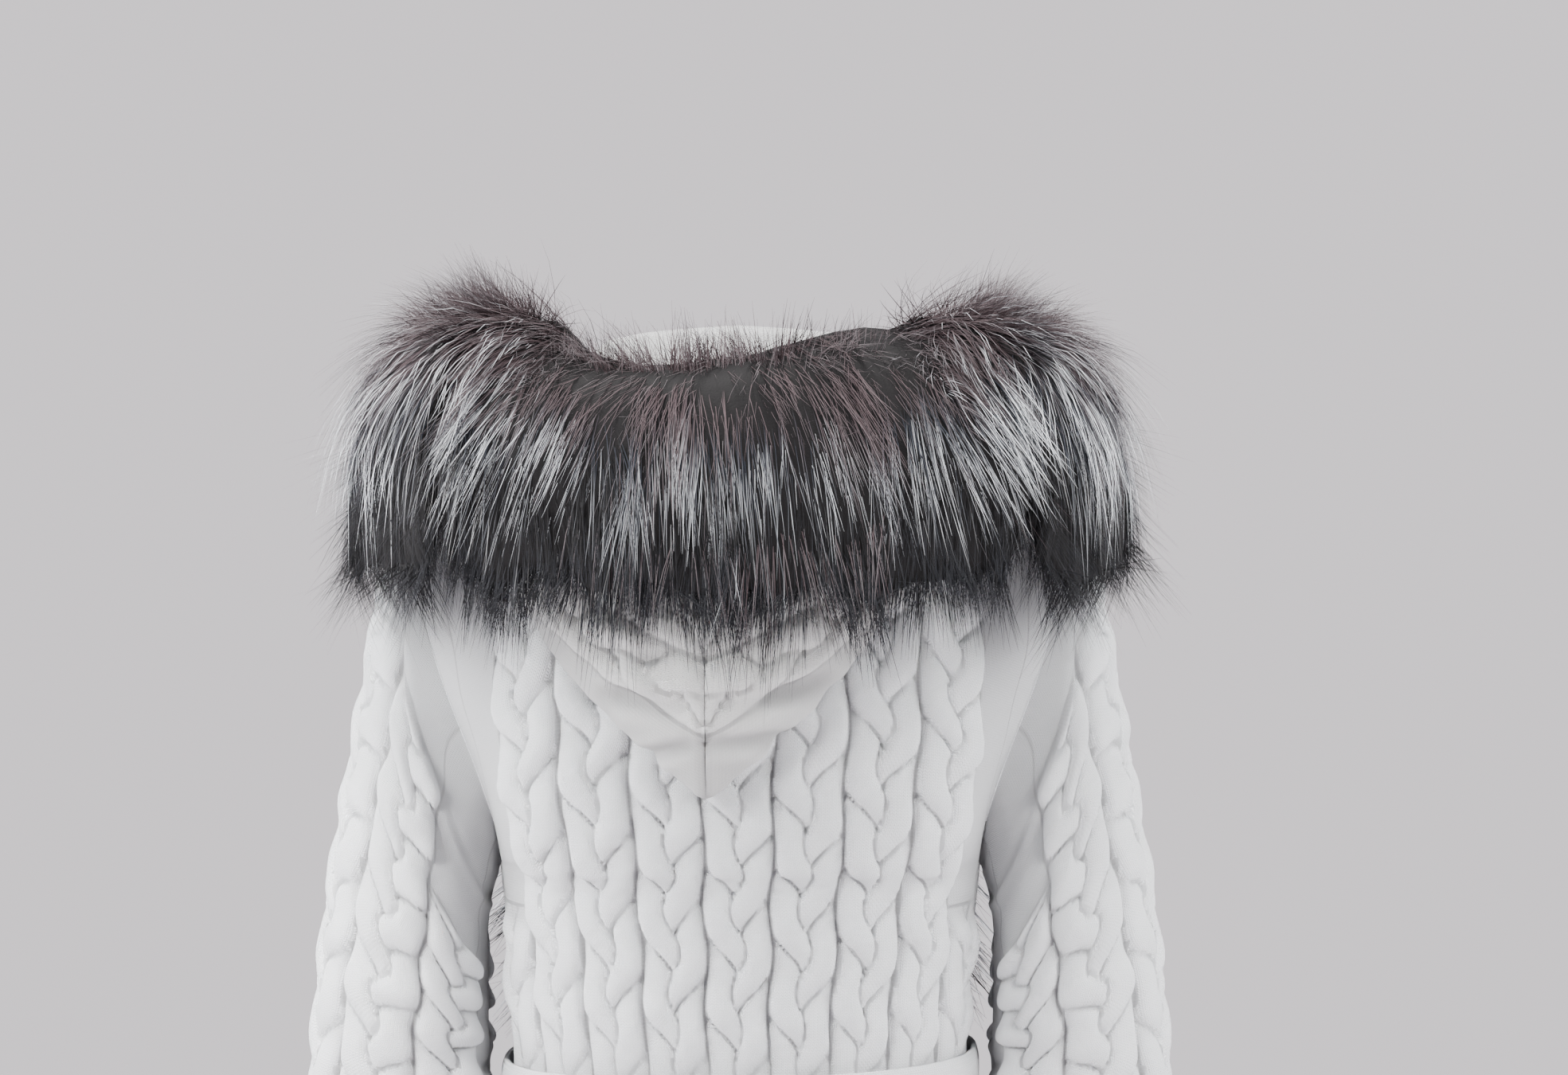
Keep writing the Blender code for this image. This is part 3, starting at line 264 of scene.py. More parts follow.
def steady(keys, values, at):
    """Like through, but it never swings past its rows."""
    rises = np.diff(values) / np.diff(keys)
    slopes = np.zeros(len(values))
    same_way = rises[:-1] * rises[1:] > 0
    before, after = rises[:-1][same_way], rises[1:][same_way]
    slopes[1:-1][same_way] = 2 * before * after / (before + after)
    return hermite(keys, values, slopes, at)


def smooth_step(low, high, at):
    """0 up to low, 1 from high on, and a soft rise between."""
    u = np.clip((at - low) / (high - low), 0.0, 1.0)
    return u * u * (3 - 2 * u)


def path_lengths(points):
    """The length along a line of points, up to each of them."""
    return np.concatenate([[0.0], np.cumsum(np.linalg.norm(np.diff(points, axis=0), axis=1))])


def hump(at, middle, half):
    """A bell of height 1 round middle."""
    return np.exp(-(((at - middle) / half) ** 2))


def unit(vector):
    return vector / np.linalg.norm(vector)


def units(vectors):
    return vectors / np.maximum(np.linalg.norm(vectors, axis=-1, keepdims=True), 1e-12)


# ---------------------------------------------------------------- base forms

SHARES = np.linspace(0.0, 1.0, 121)


def torso_ring(side, z):
    """Half a ring of the torso at height z, from the centre line to the side seam."""
    half_width = through(TORSO["z"], TORSO["half_width"], z)
    depth = through(TORSO["z"], TORSO[side + "_depth"], z)
    angle = SHARES * math.pi / 2
    x = half_width * np.sin(angle) ** (2 / ROUNDNESS)
    y = depth * np.cos(angle).clip(0) ** (2 / ROUNDNESS)
    return x, y, np.full(len(x), z)


def top_edge(side):
    """The neckline, then the shoulder seam."""
    turn = np.clip(SHARES / NECK_SHARE, 0, 1) * math.pi / 2
    reach = np.clip((SHARES - NECK_SHARE) / (1 - NECK_SHARE), 0, 1)
    depth, low = (NECK_BACK, NAPE_Z) if side == "back" else (NECK_FRONT, NECK_PIT_Z)
    x = NECK_HALF * np.sin(turn) + (SHOULDER_HALF - NECK_HALF) * reach
    y = depth * np.cos(turn).clip(0)
    z = NECK_POINT_Z + (low - NECK_POINT_Z) * np.cos(turn) ** 2
    z += (SHOULDER_Z - NECK_POINT_Z) * reach**1.15
    return x, y, z


def yoke_row(side, rise):
    """A row of the cloth above the underarm, at a share of the way up to the top edge."""
    low_x, low_y, low_z = torso_ring(side, UNDERARM_Z)
    top_x, top_y, top_z = top_edge(side)
    chest = CHEST_BACK if side == "back" else CHEST_FRONT
    x = low_x + (top_x - low_x) * math.sin(min(rise / 0.8, 1.0) * math.pi / 2) ** 2
    armhole_y = ARMHOLE_DEPTH * 2 * math.sqrt(rise * (1 - rise))
    centre_y = top_y + (chest - top_y) * math.sqrt(1 - rise**4)
    upper_y = armhole_y + (centre_y - armhole_y) * (1 - SHARES**3)
    taken = math.sqrt(1 - (1 - min(rise / 0.25, 1.0)) ** 2)
    y = low_y * (1 - taken) + upper_y * taken
    return x, y, low_z + rise * (top_z - low_z)


def yoke_rises():
    """Shares of the rise, and the cloth length up to each of them, in the middle of half a panel."""
    rises = np.sin(np.linspace(0, math.pi / 2, 91))
    middle = len(SHARES) // 2
    points = np.array([[axis[middle] for axis in yoke_row("back", rise)] for rise in rises])
    return rises, path_lengths(points)


YOKE_RISES, YOKE_LENGTHS = yoke_rises()
TOP_HEIGHT = UNDERARM_Z + float(YOKE_LENGTHS[-1])


@functools.lru_cache(maxsize=20000)
def torso_row(side, height):
    """Half a row of the cloth at a cloth height: its x, y and z, and its cable columns."""
    if height <= UNDERARM_Z:
        x, y, z = torso_ring(side, height)
    else:
        x, y, z = yoke_row(side, np.interp(height - UNDERARM_Z, YOKE_LENGTHS, YOKE_RISES))
    steps = np.sqrt(np.diff(x) ** 2 + np.diff(y) ** 2 + np.diff(z) ** 2)
    lengths = np.concatenate([[0.0], np.cumsum(steps)])
    pitch = through(TORSO["z"], TORSO["cable_pitch"], height)
    even = min(CENTRE_CABLES * pitch, 0.93 * lengths[-1])
    columns = np.interp(lengths, [0.0, even, lengths[-1]], [0.0, CENTRE_CABLES, PANEL_CABLES])
    return x, y if side == "back" else -y, z, columns


def torso_line(side, columns, height):
    """Points of the torso at several cable columns, counted from the centre line, on one cloth height."""
    x, y, z, known = torso_row(side, float(height))
    across, deep, up = (np.interp(np.abs(columns), known, axis) for axis in (x, y, z))
    return np.stack([np.copysign(across, columns), deep, up], axis=-1)


def torso_point(side, column, height):
    return torso_line(side, np.array([column]), height)[0]


def column_at(side, x_wanted, height):
    """The column whose point on this row has the wanted x."""
    x, _, _, columns = torso_row(side, float(height))
    return float(np.interp(x_wanted, x, columns))


def torso_normal(side, column, height):
    step = 0.02
    low_c, high_c = max(column - step, -PANEL_CABLES), min(column + step, PANEL_CABLES)
    low_h, high_h = max(height - step / 10, HEM_Z), min(height + step / 10, TOP_HEIGHT)
    across = torso_point(side, high_c, height) - torso_point(side, low_c, height)
    up = torso_point(side, column, high_h) - torso_point(side, column, low_h)
    return unit(np.cross(up, across) if side == "back" else np.cross(across, up))


def front_edge_column(height):
    """The column of the front edge on this row, for the wearer's left side."""
    edge_x = through(EDGE["z"], EDGE["x"], height)
    if height > UNDERARM_Z:
        for _ in range(6):
            column = column_at("front", edge_x, height)
            edge_x = through(EDGE["z"], EDGE["x"], torso_point("front", column, height)[2])
    return column_at("front", edge_x, height)


TURNS = np.linspace(0.0, 2 * math.pi, 145)


def armhole_line():
    """The armhole, turn by turn, and the way its cloth faces there."""
    points, normals = [], []
    for turn in TURNS:
        side = "back" if turn <= math.pi else "front"
        rise = (1 - math.cos(turn)) / 2
        height = UNDERARM_Z + float(np.interp(rise, YOKE_RISES, YOKE_LENGTHS))
        points.append(torso_point(side, PANEL_CABLES, height))
        normals.append(torso_normal(side, PANEL_CABLES, min(height + 0.004, TOP_HEIGHT)))
    return np.array(points), np.array(normals)


ARMHOLE, ARMHOLE_FACING = armhole_line()


def sleeve_ring(along):
    """A ring of the sleeve on the wearer's left, as points at TURNS."""
    inner_x, inner_z, outer_x, outer_z, centre_y, half_depth = (
        through(SLEEVE["along"], SLEEVE[name], along) for name in SLEEVE_COLUMNS.split()[1:]
    )
    half = np.array([outer_x - inner_x, 0.0, outer_z - inner_z]) / 2
    middle = np.array([inner_x, 0.0, inner_z]) + half
    middle[1] = centre_y
    deep = np.array([0.0, half_depth, 0.0])
    return middle - np.outer(np.cos(TURNS), half) + np.outer(np.sin(TURNS), deep)


ARMHOLE_SHIFT = ARMHOLE - sleeve_ring(0.0)


def sleeve_line(columns, along):
    """Points of the left sleeve a length along it, at columns counted round from the first cable."""
    ring = sleeve_ring(along) + ARMHOLE_SHIFT * (1 - smooth_step(0.0, 0.08, along))
    lengths = path_lengths(ring)
    cabled = lengths[-1] - 2 * SLEEVE_PLAIN
    places = [0.0, SLEEVE_PLAIN, SLEEVE_PLAIN + cabled, lengths[-1]]
    at = np.interp(columns, [-SLEEVE_SEAM, 0.0, SLEEVE_CABLES, SLEEVE_CABLES + SLEEVE_SEAM], places)
    return np.stack([np.interp(at, lengths, ring[:, axis]) for axis in range(3)], axis=-1)


def grid_normals(points, wrapped=False):
    """Unit normals of a (rows, columns, 3) grid: the side where rows go up and columns go right."""
    if wrapped:
        around = np.roll(points, -1, axis=1) - np.roll(points, 1, axis=1)
    else:
        around = np.gradient(points, axis=1)
    return units(np.cross(around, np.gradient(points, axis=0)))


def spread(grid, rows, columns):
    """A coarse grid of points, read smoothly at fractional rows and columns."""
    for axis, at in ((0, rows), (1, columns)):
        i = np.clip(np.floor(at).astype(int), 0, grid.shape[axis] - 2)
        shape = [1, 1, 1]
        shape[axis] = -1
        u = (at - i).reshape(shape)
        slopes = np.gradient(grid, axis=axis)
        ends = [np.take(numbers, at, axis) for numbers in (grid, slopes) for at in (i, i + 1)]
        grid = cubic(u, *ends)
    return grid


# ---------------------------------------------------------------- meshes


def linked(name, mesh):
    thing = bpy.data.objects.new(name, mesh)
    bpy.context.scene.collection.objects.link(thing)
    return thing


def dressed(thing, material):
    thing.data.materials.clear()
    thing.data.materials.append(material)
    return thing


def store(mesh, name, values):
    """Keeps one number for each point, for the material to read."""
    layer = mesh.attributes.new(name, "FLOAT", "POINT")
    layer.data.foreach_set("value", np.asarray(values, dtype=np.float32).ravel())


def store_map(mesh, name, places):
    """Keeps a UV map from one place for each point."""
    corners = np.empty(len(mesh.loops), dtype=np.int32)
    mesh.loops.foreach_get("vertex_index", corners)
    layer = mesh.uv_layers.new(name=name)
    layer.data.foreach_set("uv", np.asarray(places, dtype=np.float32)[corners].ravel())


def read_points(mesh):
    points = np.empty(len(mesh.vertices) * 3)
    mesh.vertices.foreach_get("co", points)
    return points.reshape(-1, 3)


def write_points(mesh, points):
    mesh.vertices.foreach_set("co", points.ravel())
    mesh.update()


def stands_for(thing, node, material):
    """Puts a finished piece in place of a solid of the part."""
    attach(thing, "root")
    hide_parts(node)
    return dressed(thing, material)


def quads(rows, columns, start, closed, flipped):
    """The faces of a grid of points numbered from start."""
    low = np.arange(rows - 1)[:, None] * columns
    left = np.arange(columns if closed else columns - 1)[None, :]
    right = (left + 1) % columns
    faces = np.stack([low + left, low + right, low + columns + right, low + columns + left], axis=-1)
    faces = faces.reshape(-1, 4) + start
    return (faces[:, ::-1] if flipped else faces).tolist()


def rim_lines(rows, columns, start, closed):
    """The border lines of a grid, in one turning sense."""
    low = [start + u for u in range(columns)]
    high = [start + (rows - 1) * columns + u for u in range(columns)]
    if closed:
        return [low + low[:1], (high + high[:1])[::-1]]
    right = [start + v * columns + columns - 1 for v in range(rows)]
    left = [start + v * columns for v in range(rows)]
    return [low, right, high[::-1], left[::-1]]


def triangles_between(first, second, points):
    """Triangles that join two lines of points with different spacing."""
    lengths = [path_lengths(points[line]) for line in (first, second)]
    along = [line / line[-1] for line in lengths]
    faces = []
    i = j = 0
    while i < len(first) - 1 or j < len(second) - 1:
        take_first = j == len(second) - 1 or (i < len(first) - 1 and along[0][i + 1] <= along[1][j + 1])
        if take_first:
            faces.append((first[i], first[i + 1], second[j]))
            i += 1
        else:
            faces.append((first[i], second[j + 1], second[j]))
            j += 1
    return faces


def spaced(count, wanted):
    """Indices of about the wanted count, evenly over a line, with both ends."""
    return np.unique(np.round(np.linspace(0, count - 1, wanted)).astype(int))


INNER_SPACING = 6  # the inside's cells, in cells of the outside


def knit_wall(name, base, facing, lift, stitch_map, panel_map, closed=False, wall=None):
    """A closed thin wall: the base form raised by lift outside, and a coarser plain face inside."""
    wall = bpy.context.scene.cardigan_shape.wall if wall is None else wall
    rows, columns = base.shape[:2]
    outer = base + facing * lift[..., None]
    inner_rows = spaced(rows, max(3, rows // INNER_SPACING))
    inner_columns = spaced(columns + closed, max(4, columns // INNER_SPACING))[: -1 if closed else None]
    inner = (base - facing * wall)[inner_rows][:, inner_columns]
    points = np.concatenate([outer.reshape(-1, 3), inner.reshape(-1, 3)])
    start = rows * columns
    faces = quads(rows, columns, 0, closed, False)
    faces += quads(*inner.shape[:2], start, closed, True)
    pairs = zip(rim_lines(rows, columns, 0, closed), rim_lines(*inner.shape[:2], start, closed))
    for fine, coarse in pairs:
        faces += triangles_between(coarse, fine, points)
    maps = [
        np.concatenate([places.reshape(-1, 2), places[inner_rows][:, inner_columns].reshape(-1, 2)])
        for places in (stitch_map, panel_map)
    ]
    # The relief, 0 to 1, which the knit's material reads to paint shade in the hollows.
    most = max(float(lift.max()), 1e-6)
    relief = np.concatenate([(lift / most).ravel(), np.zeros(len(points) - start)])
    return knit_body(name, points, faces, *maps, relief)


def knit_body(name, points, faces, stitch_map, panel_map, relief):
    """A closed body of knit, facing outwards, with what its material reads."""
    mesh = bpy.data.meshes.new(name)
    mesh.from_pydata(points.tolist(), [], faces)
    mesh.update()
    store_map(mesh, "stitches", stitch_map)
    store_map(mesh, "panel", panel_map)
    store(mesh, "relief", relief)
    if signed_volume(mesh) < 0:
        mesh.flip_normals()
    mesh.shade_smooth()
    return linked(name, mesh)


def signed_volume(mesh):
    mesh.calc_loop_triangles()
    corners = np.empty(len(mesh.loop_triangles) * 3, dtype=np.int32)
    mesh.loop_triangles.foreach_get("vertices", corners)
    a, b, c = read_points(mesh)[corners.reshape(-1, 3)].transpose(1, 0, 2)
    return float((np.cross(a, b) * c).sum() / 6)


def waves(points, size, seed=0.0):
    """A soft uneven swell between -1 and 1, whose humps are about size apart."""
    x, y, z = (points[..., axis] * (2 * math.pi / size) for axis in range(3))
    first = np.sin(x + 1.3 * np.sin(0.7 * z + seed) + seed)
    first = first * np.sin(0.9 * z + 1.1 * np.sin(0.8 * y) + 2 * seed)
    second = np.sin(0.63 * x - 0.71 * y + 1.9 * z + 3 * seed) * np.sin(1.21 * y - 0.4 * x + seed)
    return 0.6 * first + 0.4 * second


# ---------------------------------------------------------------- plaits

STRAND_SWING = 0.305  # of a column, to each side
STRAND_HALF = 0.235  # of a column
STRAND_LIFT = 0.42  # how far a strand climbs over the others, against its own roundness
MELT = 30.0  # how sharply crossing strands part
GROOVE_SWAY = 0.035  # of a column, where the neighbours' lobes push the groove
CREASE_DEEP = 0.30  # of the relief, where two strands meet
CREASE_WIDE = 0.20
PLAIN_BELOW = 0.02  # a cable kept less than this shows plain stitches
EDGE_SINK = 0.0012  # how much thinner the very edge of a hem or a cuff is
EDGE_REACH = 0.006


def plait(place, up, pitch, crest_at, repeat=CABLE_REPEAT):
    """Relief of a three-strand plait whose Vs point down.

    place is in columns and up in metres of cloth; crest_at is where a left lobe crests. It returns the
    relief, 0 to 1, and for the stitches the distance across the strand on top.
    """
    middle = place - np.floor(place) - 0.5
    whole = 3 * repeat
    down = crest_at - up
    heights, across = [], []
    for strand in range(3):
        turn = 2 * math.pi * (down / whole + strand / 3) - math.pi / 4
        centre = STRAND_SWING * (np.sin(turn) + 0.12 * np.sin(3 * turn))
        run = STRAND_SWING * pitch * 2 * math.pi / whole * (np.cos(turn) + 0.36 * np.cos(3 * turn))
        off = (middle - centre) / STRAND_HALF / np.sqrt(1 + run * run) ** 0.5
        swell = np.sqrt(np.clip(1 - off * off, 0, 1)) - 2.2 * np.clip(np.abs(off) - 0.9, 0, None)
        heights.append(swell - STRAND_LIFT * np.sin(2 * turn))
        across.append(off * STRAND_HALF * pitch)
    heights, across = np.array(heights), np.array(across)
    weights = np.exp(MELT * (heights - heights.max(axis=0)))
    relief = heights.max(axis=0) + np.log(weights.sum(axis=0)) / MELT
    relief = np.clip((relief + 0.25) / (1.25 + STRAND_LIFT), 0, 1.05)
    second = np.sort(heights, axis=0)[1]
    relief = relief - CREASE_DEEP * hump(heights.max(axis=0), second, CREASE_WIDE)
    edge = np.clip((np.abs(middle) - 0.38) / 0.12, 0, 1)
    relief *= np.sqrt(np.clip(1 - edge**2.4, 0, 1))
    on_top = np.take_along_axis(across, heights.argmax(axis=0)[None], axis=0)[0]
    return relief, on_top


def crest_of(low, high, drop=0.026):
    """Where the first left lobe of a panel crests, and the repeat, for the source's own rows."""
    count = round((high - low) / (CABLE_REPEAT / 2))
    return low - drop / 2, 2 * (high - low) / count


def swayed_plait(place, up, pitch, low, high):
    """The plaits of a panel from low to high, with grooves that sway between the neighbours' lobes."""
    crest, repeat = crest_of(low, high)
    place = place + GROOVE_SWAY * np.sin(2 * math.pi * (crest - up) / (1.5 * repeat))
    return *plait(place, up, pitch, crest, repeat), place


def knit_maps(kept, on_top, across, up, place):
    """UV maps in metres of stitches and in columns of the panel."""
    stitches = np.stack([np.where(kept < PLAIN_BELOW, across, on_top), up], axis=-1)
    return stitches, np.stack([place, up], axis=-1)


def thin_edge(off):
    """How far the knit sinks towards a free edge that is off metres away."""
    return EDGE_SINK * np.clip(1 - off / EDGE_REACH, 0, 1) ** 2


def torso_kept(column, height):
    """How much of a cable's height there is here: less under the belt, none at the edges."""
    kept = smooth_step(HEM_Z + PLAIN_HEM * 0.4, HEM_Z + PLAIN_HEM * 1.6, height)
    kept = kept * (1 - smooth_step(TOP_HEIGHT - 0.03, TOP_HEIGHT - 0.004, height))
    pinch = np.exp(-(((height - BELT_TOP_Z + BELT_WIDTH / 2) / PINCH_REACH) ** 4))
    kept = kept * (1 - (1 - PINCH_HEIGHT) * pinch)
    outer = np.abs(column) > CENTRE_CABLES
    kept = kept * np.where(outer, 1 - smooth_step(UNDERARM_Z - 0.045, UNDERARM_Z - 0.02, height), 1.0)
    return kept * (np.abs(column) < LAST_GROOVE)


def sleeve_kept(column, along):
    """Cables start below a plain head, and the ones beside the seam start lower."""
    beside = np.minimum(column, SLEEVE_CABLES - column)
    begin = np.where(beside < 1, 0.150, np.where(beside < 2, 0.060, 0.045))
    kept = smooth_step(begin, begin + 0.018, along)
    kept = kept * (1 - smooth_step(SLEEVE_LENGTH - PLAIN_CUFF - 0.015, SLEEVE_LENGTH - PLAIN_CUFF, along))
    return kept * ((column >= 0) & (column <= SLEEVE_CABLES))


# ---------------------------------------------------------------- panels


SIDE_RIDGE = 0.0010  # the seam allowance beside the side seams


def torso_panel(name, side, sign):
    """A back or front panel with its cables, as a thin closed wall."""
    shape = bpy.context.scene.cardigan_shape
    heights = np.linspace(HEM_Z, TOP_HEIGHT, 97)
    if side == "back":
        edges = np.full(len(heights), -PANEL_CABLES)
    else:
        edges = np.array([front_edge_column(height) for height in heights])
    shares = np.linspace(0, 1, 51 if side == "back" else 31)
    columns = edges[:, None] + (PANEL_CABLES - edges)[:, None] * shares
    base = np.array([torso_line(side, line, height) for line, height in zip(columns, heights)])
    cell = shape.knit_cell if side == "back" else shape.front_cell
    wide = np.linalg.norm(np.diff(base, axis=1), axis=-1).sum(axis=1).max()
    down = TOP_HEIGHT - HEM_Z
    fine_heights = np.linspace(HEM_Z, TOP_HEIGHT, round(down / cell))
    rows = np.interp(fine_heights, heights, np.arange(len(heights)))
    across = np.linspace(0, len(shares) - 1, round(wide / cell))
    fine = spread(base, rows, across)
    fine_shares = np.interp(across, np.arange(len(shares)), shares)
    fine_edges = np.interp(fine_heights, heights, edges)
    column = fine_edges[:, None] + (PANEL_CABLES - fine_edges)[:, None] * fine_shares
    height = np.broadcast_to(fine_heights[:, None], column.shape)
    pitch = through(TORSO["z"], TORSO["cable_pitch"], height)
    relief, on_top, place = swayed_plait(column + 0.5, height, pitch, HEM_Z, TOP_HEIGHT)
    kept = torso_kept(column, height)
    if side == "front":
        kept = kept * (column > FRONT_PLAIN)
    facing = grid_normals(fine)
    facing = facing * np.sign(facing[len(fine) // 2, len(fine[0]) // 2, 1]) * (1 if side == "back" else -1)
    swell = 0.0008 * waves(fine, 0.05, 1.0 + sign) + 0.0004 * waves(fine, 0.017, 2.0)
    lift = shape.cable_height * relief * kept + np.abs(kept) * swell
    lift = lift + SIDE_RIDGE * hump(np.abs(column), 4.72, 0.12) * (height < UNDERARM_Z)
    lift = lift - thin_edge(height - HEM_Z)
    maps = knit_maps(kept, on_top, column * pitch, height, place)
    points = fine.copy()
    points[..., 1] = own_half(fine[..., 1], side, 0.0)
    mirror = np.array([sign, 1, 1])
    thing = knit_wall(name, points * mirror, facing * mirror, lift, *maps)
    points = read_points(thing.data)
    points[:, 1] = own_half(points[:, 1], side, SEAM_GAP / 2)
    write_points(thing.data, points)
    stands_for(thing, name, knit_material())


def own_half(y, side, gap):
    """Keeps the back behind the side seams' plane and the fronts before it."""
    return np.maximum(y, gap) if side == "back" else np.minimum(y, -gap)


def sleeve_panel(name, sign):
    """A sleeve, closed along the underarm, with six columns of cables."""
    shape = bpy.context.scene.cardigan_shape
    alongs = np.concatenate([np.linspace(0, 0.1, 11), np.linspace(0.1, SLEEVE_LENGTH, 25)[1:]])
    span = SLEEVE_CABLES + 2 * SLEEVE_SEAM
    columns = np.linspace(-SLEEVE_SEAM, SLEEVE_CABLES + SLEEVE_SEAM, 49)[:-1]
    base = np.array([sleeve_line(columns, along) for along in alongs])
    padded = np.concatenate([base[:, -2:], base, base[:, :3]], axis=1)
    cell = shape.sleeve_cell
    girth = np.linalg.norm(np.diff(padded[:, 2:-2], axis=1), axis=-1).sum(axis=1).max()
    fine_alongs = np.linspace(0, SLEEVE_LENGTH, round(SLEEVE_LENGTH * 1.06 / cell))[::-1]
    rows = np.interp(fine_alongs, alongs, np.arange(len(alongs)))
    count = round(girth / cell)
    across = 2 + np.arange(count) * len(columns) / count
    fine = spread(padded, rows, across)
    column = np.broadcast_to(-SLEEVE_SEAM + span * np.arange(count) / count, fine.shape[:2])
    along = np.broadcast_to(fine_alongs[:, None], fine.shape[:2])
    lengths = np.linalg.norm(np.roll(fine, -1, axis=1) - fine, axis=-1).sum(axis=1)
    pitch = np.broadcast_to(((lengths - 2 * SLEEVE_PLAIN) / SLEEVE_CABLES)[:, None], fine.shape[:2])
    relief, on_top, place = swayed_plait(column, -along, pitch, -SLEEVE_LENGTH, 0.0)
    kept = sleeve_kept(column, along)
    facing = grid_normals(fine, wrapped=True)
    middle = fine.mean(axis=1, keepdims=True)
    if ((fine - middle) * facing).sum() < 0:
        facing = -facing
    head = slice(-12, None)  # the rows beside the armhole turn to face as the body does there
    near = np.argmin(((fine[head, :, None] - ARMHOLE[None, None]) ** 2).sum(-1), axis=-1)
    share = np.clip(along[head] / 0.03, 0, 1)[..., None]
    facing[head] = units(facing[head] * share + ARMHOLE_FACING[near] * (1 - share))
    lift = shape.cable_height * relief * kept + 0.0007 * kept * waves(fine, 0.05, 3.0 + sign)
    lift = lift + sleeve_folds(fine, column, along)
    lift = lift - thin_edge(SLEEVE_LENGTH - along)
    off = np.array([SEAM_GAP, 0, 0]) * (1 - smooth_step(0.0, 0.05, along))[..., None]
    maps = knit_maps(kept, on_top, column * pitch, -along, place)
    mirror = np.array([sign, 1, 1])
    thing = knit_wall(name, (fine + off) * mirror, facing * mirror, lift, *maps, closed=True)
    stands_for(thing, name, knit_material())


# Folds of the sleeve: how far along, metres to a column that it leans, depth and width.
SLEEVE_FOLDS = (
    (0.055, 0.010, 0.0022, 0.010),
    (0.300, -0.006, 0.0030, 0.013),
    (0.370, 0.008, 0.0022, 0.011),
)


def sleeve_folds(points, column, along):
    """Soft troughs and ridges where the arm hangs: at the armpit, and inside and below the elbow."""
    seam_off = np.minimum(column + SLEEVE_SEAM, SLEEVE_CABLES + SLEEVE_SEAM - column)
    folds = np.zeros(column.shape)
    for at, lean, deep, width in SLEEVE_FOLDS:
        line = along - at - lean * column
        trough = hump(line, width, width) - hump(line, 0.0, width)
        folds = folds + deep * hump(seam_off, 0.0, 1.1) * trough
    return folds + 0.0009 * waves(points, 0.11, 5.0)


# ---------------------------------------------------------------- hood


@functools.lru_cache(maxsize=None)
def body_cloud():
    """Places on top of the cables of the yoke and the upper sleeves, and the way each faces."""
    spots, facings = [], []
    high = bpy.context.scene.cardigan_shape.cable_height
    for side in ("back", "front"):
        heights = np.linspace(UNDERARM_Z - 0.02, TOP_HEIGHT, 32)
        firsts = [0.0 if side == "back" else front_edge_column(height) for height in heights]
        columns = np.array([np.linspace(first, PANEL_CABLES, 24) for first in firsts])
        grid = np.array([torso_line(side, line, height) for line, height in zip(columns, heights)])
        facing = grid_normals(grid) * (1 if side == "back" else -1)
        facing = facing * (1 if (facing[8, 8, 1] > 0) == (side == "back") else -1)
        crest = torso_kept(columns, heights[:, None]) * (1.0 if side == "back" else columns > FRONT_PLAIN)
        spots.append((grid + facing * (high * crest)[..., None]).reshape(-1, 3))
        facings.append(facing.reshape(-1, 3))
    alongs = np.linspace(0.0, 0.22, 24)
    columns = np.linspace(-SLEEVE_SEAM, SLEEVE_CABLES + SLEEVE_SEAM, 30)
    grid = np.array([sleeve_line(columns, along) for along in alongs])
    facing = grid_normals(grid)
    outward = grid - grid.mean(axis=1, keepdims=True)
    facing = facing * np.sign((outward * facing).sum())
    crest = sleeve_kept(columns[None], alongs[:, None])
    spots.append((grid + facing * (high * crest)[..., None]).reshape(-1, 3))
    facings.append(facing.reshape(-1, 3))
    spots, facings = np.concatenate(spots), np.concatenate(facings)
    mirror = np.array([-1, 1, 1])
    return np.concatenate([spots, spots * mirror]), np.concatenate([facings, facings * mirror])


def kept_clear(points, cloud, clearance):
    """Moves each point out until it is clear of the nearest face of the cloud."""
    spots, facings = cloud
    points = np.array(points)
    for _ in range(3):
        parts = np.array_split(points, 12)
        nearest = [((part[:, None] - spots[None]) ** 2).sum(-1).argmin(axis=1) for part in parts]
        nearest = np.concatenate(nearest)
        offset = points - spots[nearest]
        depth = (offset * facings[nearest]).sum(1)
        close = np.linalg.norm(offset, axis=1) < CLEAR_REACH
        push = np.where(close, np.maximum(clearance - depth, 0.0), 0.0)
        points = points + facings[nearest] * push[:, None]
    return points


def neckline(t):
    """Where the hood stands on the body's upper edge: up the left front edge, then along the nape."""
    if t < HOOD_FRONT:
        side, height = "front", TOP_HEIGHT - HOOD_FRONT_LENGTH * (1 - t / HOOD_FRONT)
        column = front_edge_column(height)
    else:
        side, height = "back", TOP_HEIGHT
        turn = (t - HOOD_FRONT) / (1 - HOOD_FRONT) * math.pi / 2
        column = column_at("back", NECK_HALF * math.cos(turn), height)
    edge = torso_point(side, column, height)
    outward = unit(edge * np.array([1, 1, 0]))
    off = HOOD_OFF_NECK * (1 + 0.9 * math.sin(math.pi * min(t / HOOD_FRONT, 1)))
    return edge + torso_normal(side, column, height) * off + outward * EDGE_OUT / 2


def hood_swing(z, share):
    """The hood hangs a little to the wearer's left, the more the lower it is."""
    return HOOD_SWING * smooth_step(0.02, -0.16, z) * smooth_step(0.0, 0.2, share)


def hood_base(sign, ts, shares):
    """Points of a hood panel's outside, (shares, ts, 3)."""
    grid = np.empty((len(shares), len(ts), 3))
    for column, t in enumerate(ts):
        knots = [neckline(t)]
        for curve in HOOD_CURVES:
            knots.append([through(HOOD[curve]["t"], HOOD[curve][axis], t) for axis in ("x", "y", "z")])
        knots = np.array(knots)
        for axis in range(3):
            grid[:, column, axis] = through(np.array(HOOD_KNOTS), knots[:, axis], shares)
    grid = grid * np.array([sign, 1, 1])
    grid[..., 0] += hood_swing(grid[..., 2], shares[:, None])
    clear = kept_clear(grid.reshape(-1, 3), body_cloud(), SOFT_GAP).reshape(grid.shape)
    return grid + (clear - grid) * smooth_step(0.02, 0.10, shares)[:, None, None]


